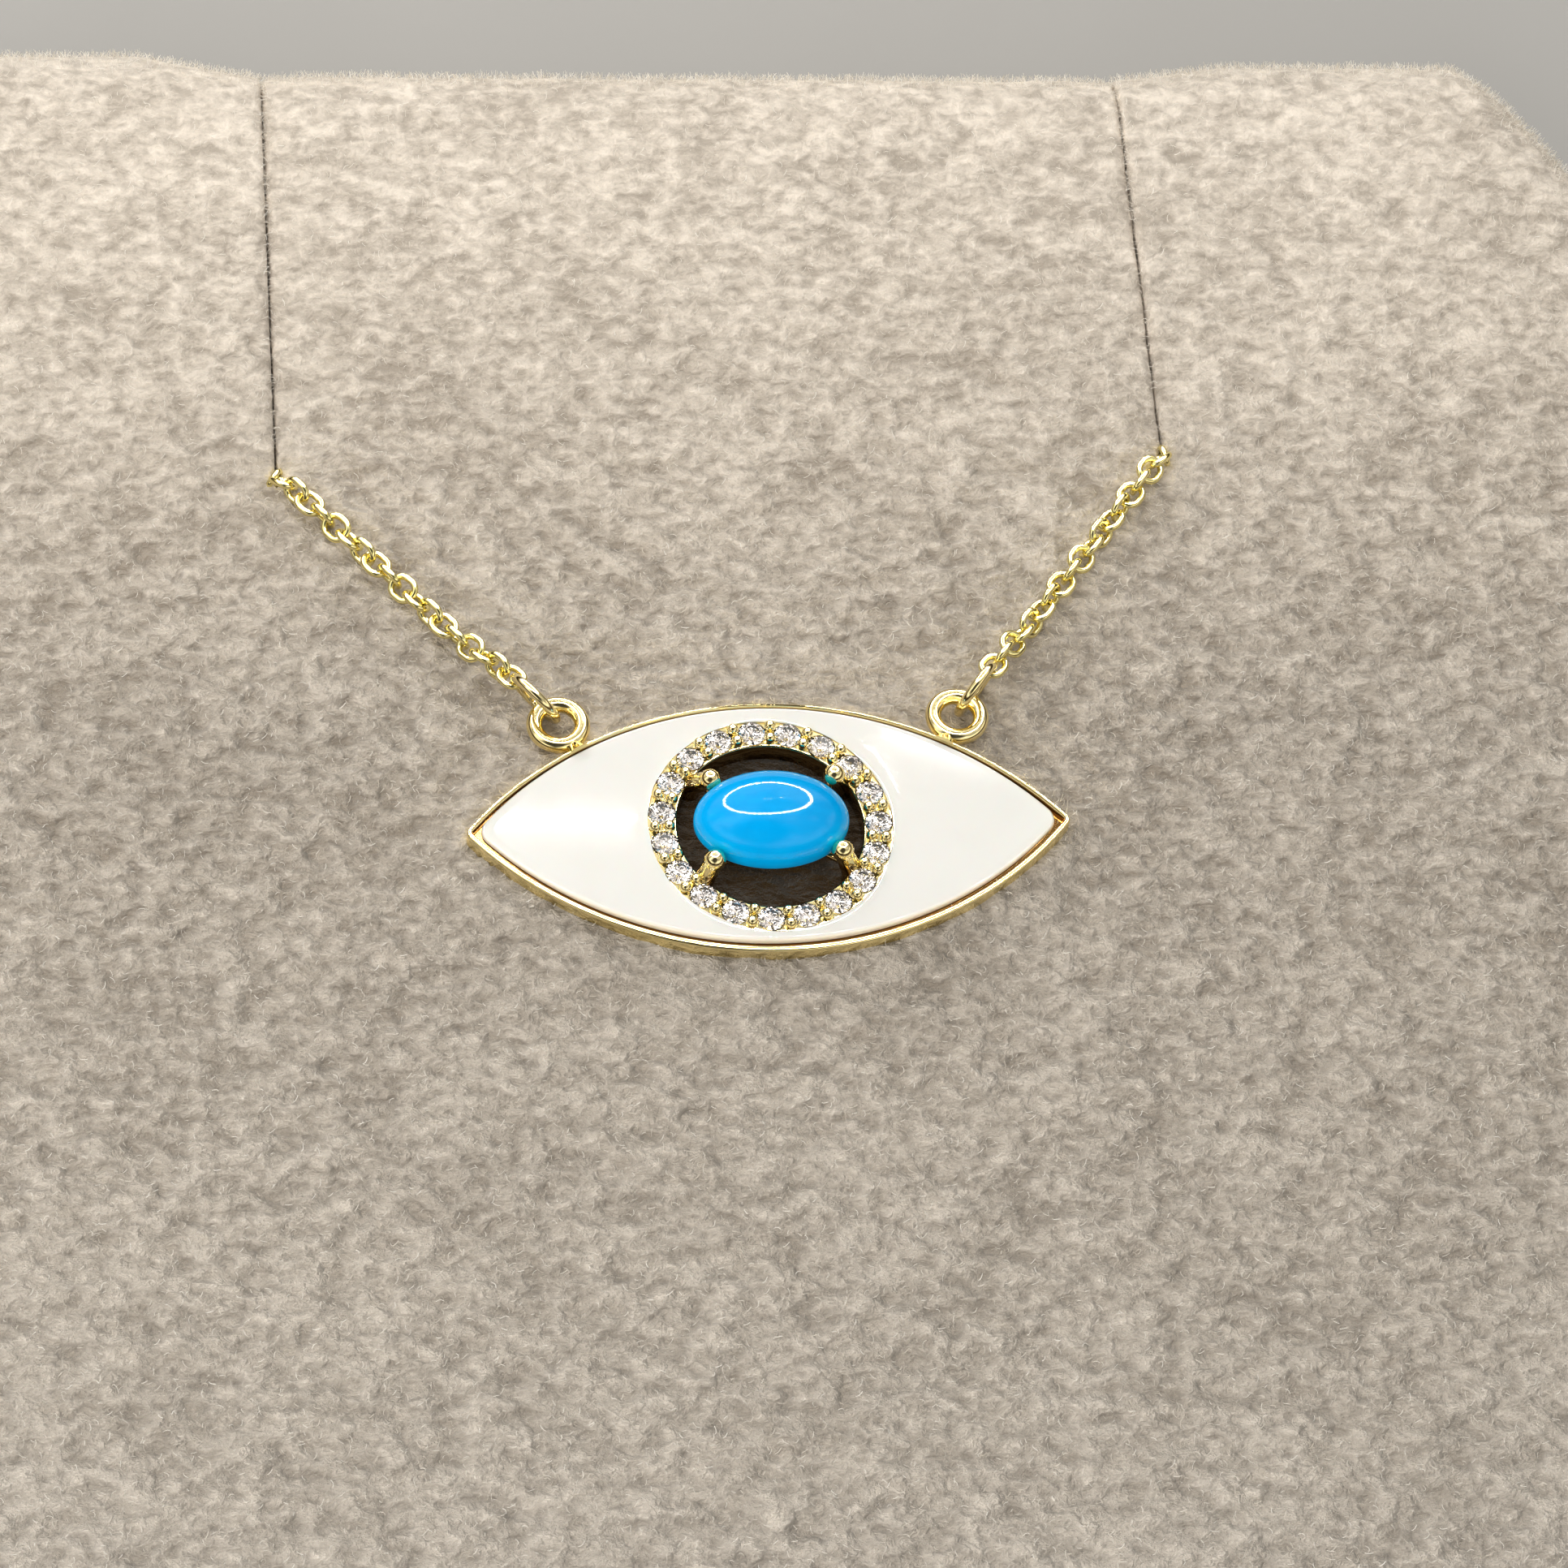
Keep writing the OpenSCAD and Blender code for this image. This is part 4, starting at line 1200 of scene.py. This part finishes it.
# %% Lamps
def hang_lamp(name, at, size, strength, colour, target=(0, 0, 12), seen=True, lights=True):
    """A flat lamp that faces its target. Its strength is its own brightness."""
    lamp = bpy.data.lights.new(name, "AREA")
    lamp.shape = "RECTANGLE" if len(size) > 1 else "DISK"
    lamp.size = size[0] * MM
    area = pi * (size[0] / 2) ** 2
    if len(size) > 1:
        lamp.size_y, area = size[1] * MM, size[0] * size[1]
    lamp.energy = strength * pi * area * MM * MM
    lamp.color = colour
    holder = add_object(name, lamp)
    holder.location = Vector(at) * MM
    holder.rotation_euler = (Vector(target) - Vector(at)).to_track_quat("-Z", "Y").to_euler()
    holder.visible_camera = False
    holder.visible_glossy, holder.visible_diffuse = seen, lights


RING_LAMPS, RING_AT, RING_R, LAMP_D, LAMP_GLOW = 50, 450, 292, 32, 80
ring_middle = Vector((0.0, 0.60, 0.80)).normalized()
across = ring_middle.cross(Vector((0, 0, 1))).normalized()
along = across.cross(ring_middle)
for k in range(RING_LAMPS):
    a = 2 * pi * k / RING_LAMPS
    at = Vector((0, 0, 12)) + ring_middle * RING_AT + (
        across * cos(a) + along * sin(a)) * RING_R
    hang_lamp("ring_lamp_%02d" % k, at, (LAMP_D,), LAMP_GLOW, (1.0, 0.97, 0.92), lights=False)
SOFT_WHITE = (1.0, 0.98, 0.95)
for name, at, size, strength, colour, target in (
        ("soft_key", (-45, 100, 190), (110, 110), 1.6, (1.0, 0.975, 0.94), (5, 12, 10)),
        ("front_fill", (-85, -140, 150), (160, 160), 2.8, SOFT_WHITE, (0, 0, 10)),
        ("back_light", (-75, 175, 85), (220, 60), 3.9, SOFT_WHITE, (0, 20, 8))):
    hang_lamp(name, at, size, strength, colour, target, seen=False)
print(RING_LAMPS, "lamps in a ring of", 2 * RING_R, "mm")

# %% Streaks
# The two bright streaks on the enamel are reflections of narrow windows. Each window hangs where
# the camera sees it mirrored in the enamel's dome.
WINDOW_AWAY, WINDOW_GLOW, ENAMEL_Z = 500, 60, 11.25
eye_at = Vector(camera.matrix_world.translation) / MM
for name, x, y, size in (("streak_left", -7.6, 0.35, (50, 3)), ("streak_right", 7.3, 3.7, (24, 4))):
    spot = Vector((x, y, ENAMEL_Z))
    look = (spot - eye_at).normalized()
    normal = Vector(((x - EYE_X) / DOME_R, y / DOME_R, 1)).normalized()
    at = spot + (look - 2 * look.dot(normal) * normal) * WINDOW_AWAY
    hang_lamp(name, at, size, WINDOW_GLOW, SOFT_WHITE, spot)

# %% [markdown]
# ## Sky
# Matt things see an even sky. Shiny things see a bright room with a dark patch where the camera
# and the hand that holds it stand, and a dark horizon. That contrast makes gold look gold. What
# is seen through a brilliant is a spotted sky, and its small bright spots become the sparkle.

# %% Sky
world = bpy.data.worlds.new("studio")
scene.world = world
world.use_nodes = True
tree = work_on(world.node_tree)
way = put("ShaderNodeTexCoord").outputs["Generated"]
room = tree.nodes["Background"]
join(colour_ramp(fade(split(way)["Z"], -0.2, 1.0), (0.15, (0.05, 0.035, 0.025)),
                 (0.38, (0.13, 0.095, 0.06)), (0.50, (1.15, 1.12, 1.06)),
                 (1.0, (1.5, 1.47, 1.40))), room.inputs["Color"])
patches = fade(noise_at(way, 1.8, 1), 0.38, 0.60, 0.35, 1.25)
toward_camera = vector("DOT_PRODUCT", way, tuple(-forward)).outputs["Value"]
clear = fade(toward_camera, 0.80, 0.95, 1.0, 0.06, interpolation_type="SMOOTHSTEP")
join(times(patches, clear), room.inputs["Strength"])
even = put("ShaderNodeBackground", {"Color": (1.0, 0.985, 0.955, 1), "Strength": 0.56})
flashes = put("ShaderNodeBackground", {
    "Color": (1.0, 0.91, 0.84, 1), "Strength": fade(noise_at(way, 7.0, 1), 0.47, 0.58, 0.05, 1.6)})
path = put("ShaderNodeLightPath").outputs
seen = put("ShaderNodeMixShader", {0: path["Is Diffuse Ray"], 1: room, 2: even})
seen = put("ShaderNodeMixShader", {0: above(path["Transmission Depth"], 0.5), 1: seen, 2: flashes})
join(seen, tree.nodes["World Output"].inputs["Surface"])
scene.view_settings.view_transform = "Standard"
scene.view_settings.look = "None"
scene.cycles.use_denoising = True
print("Sky and colour set")
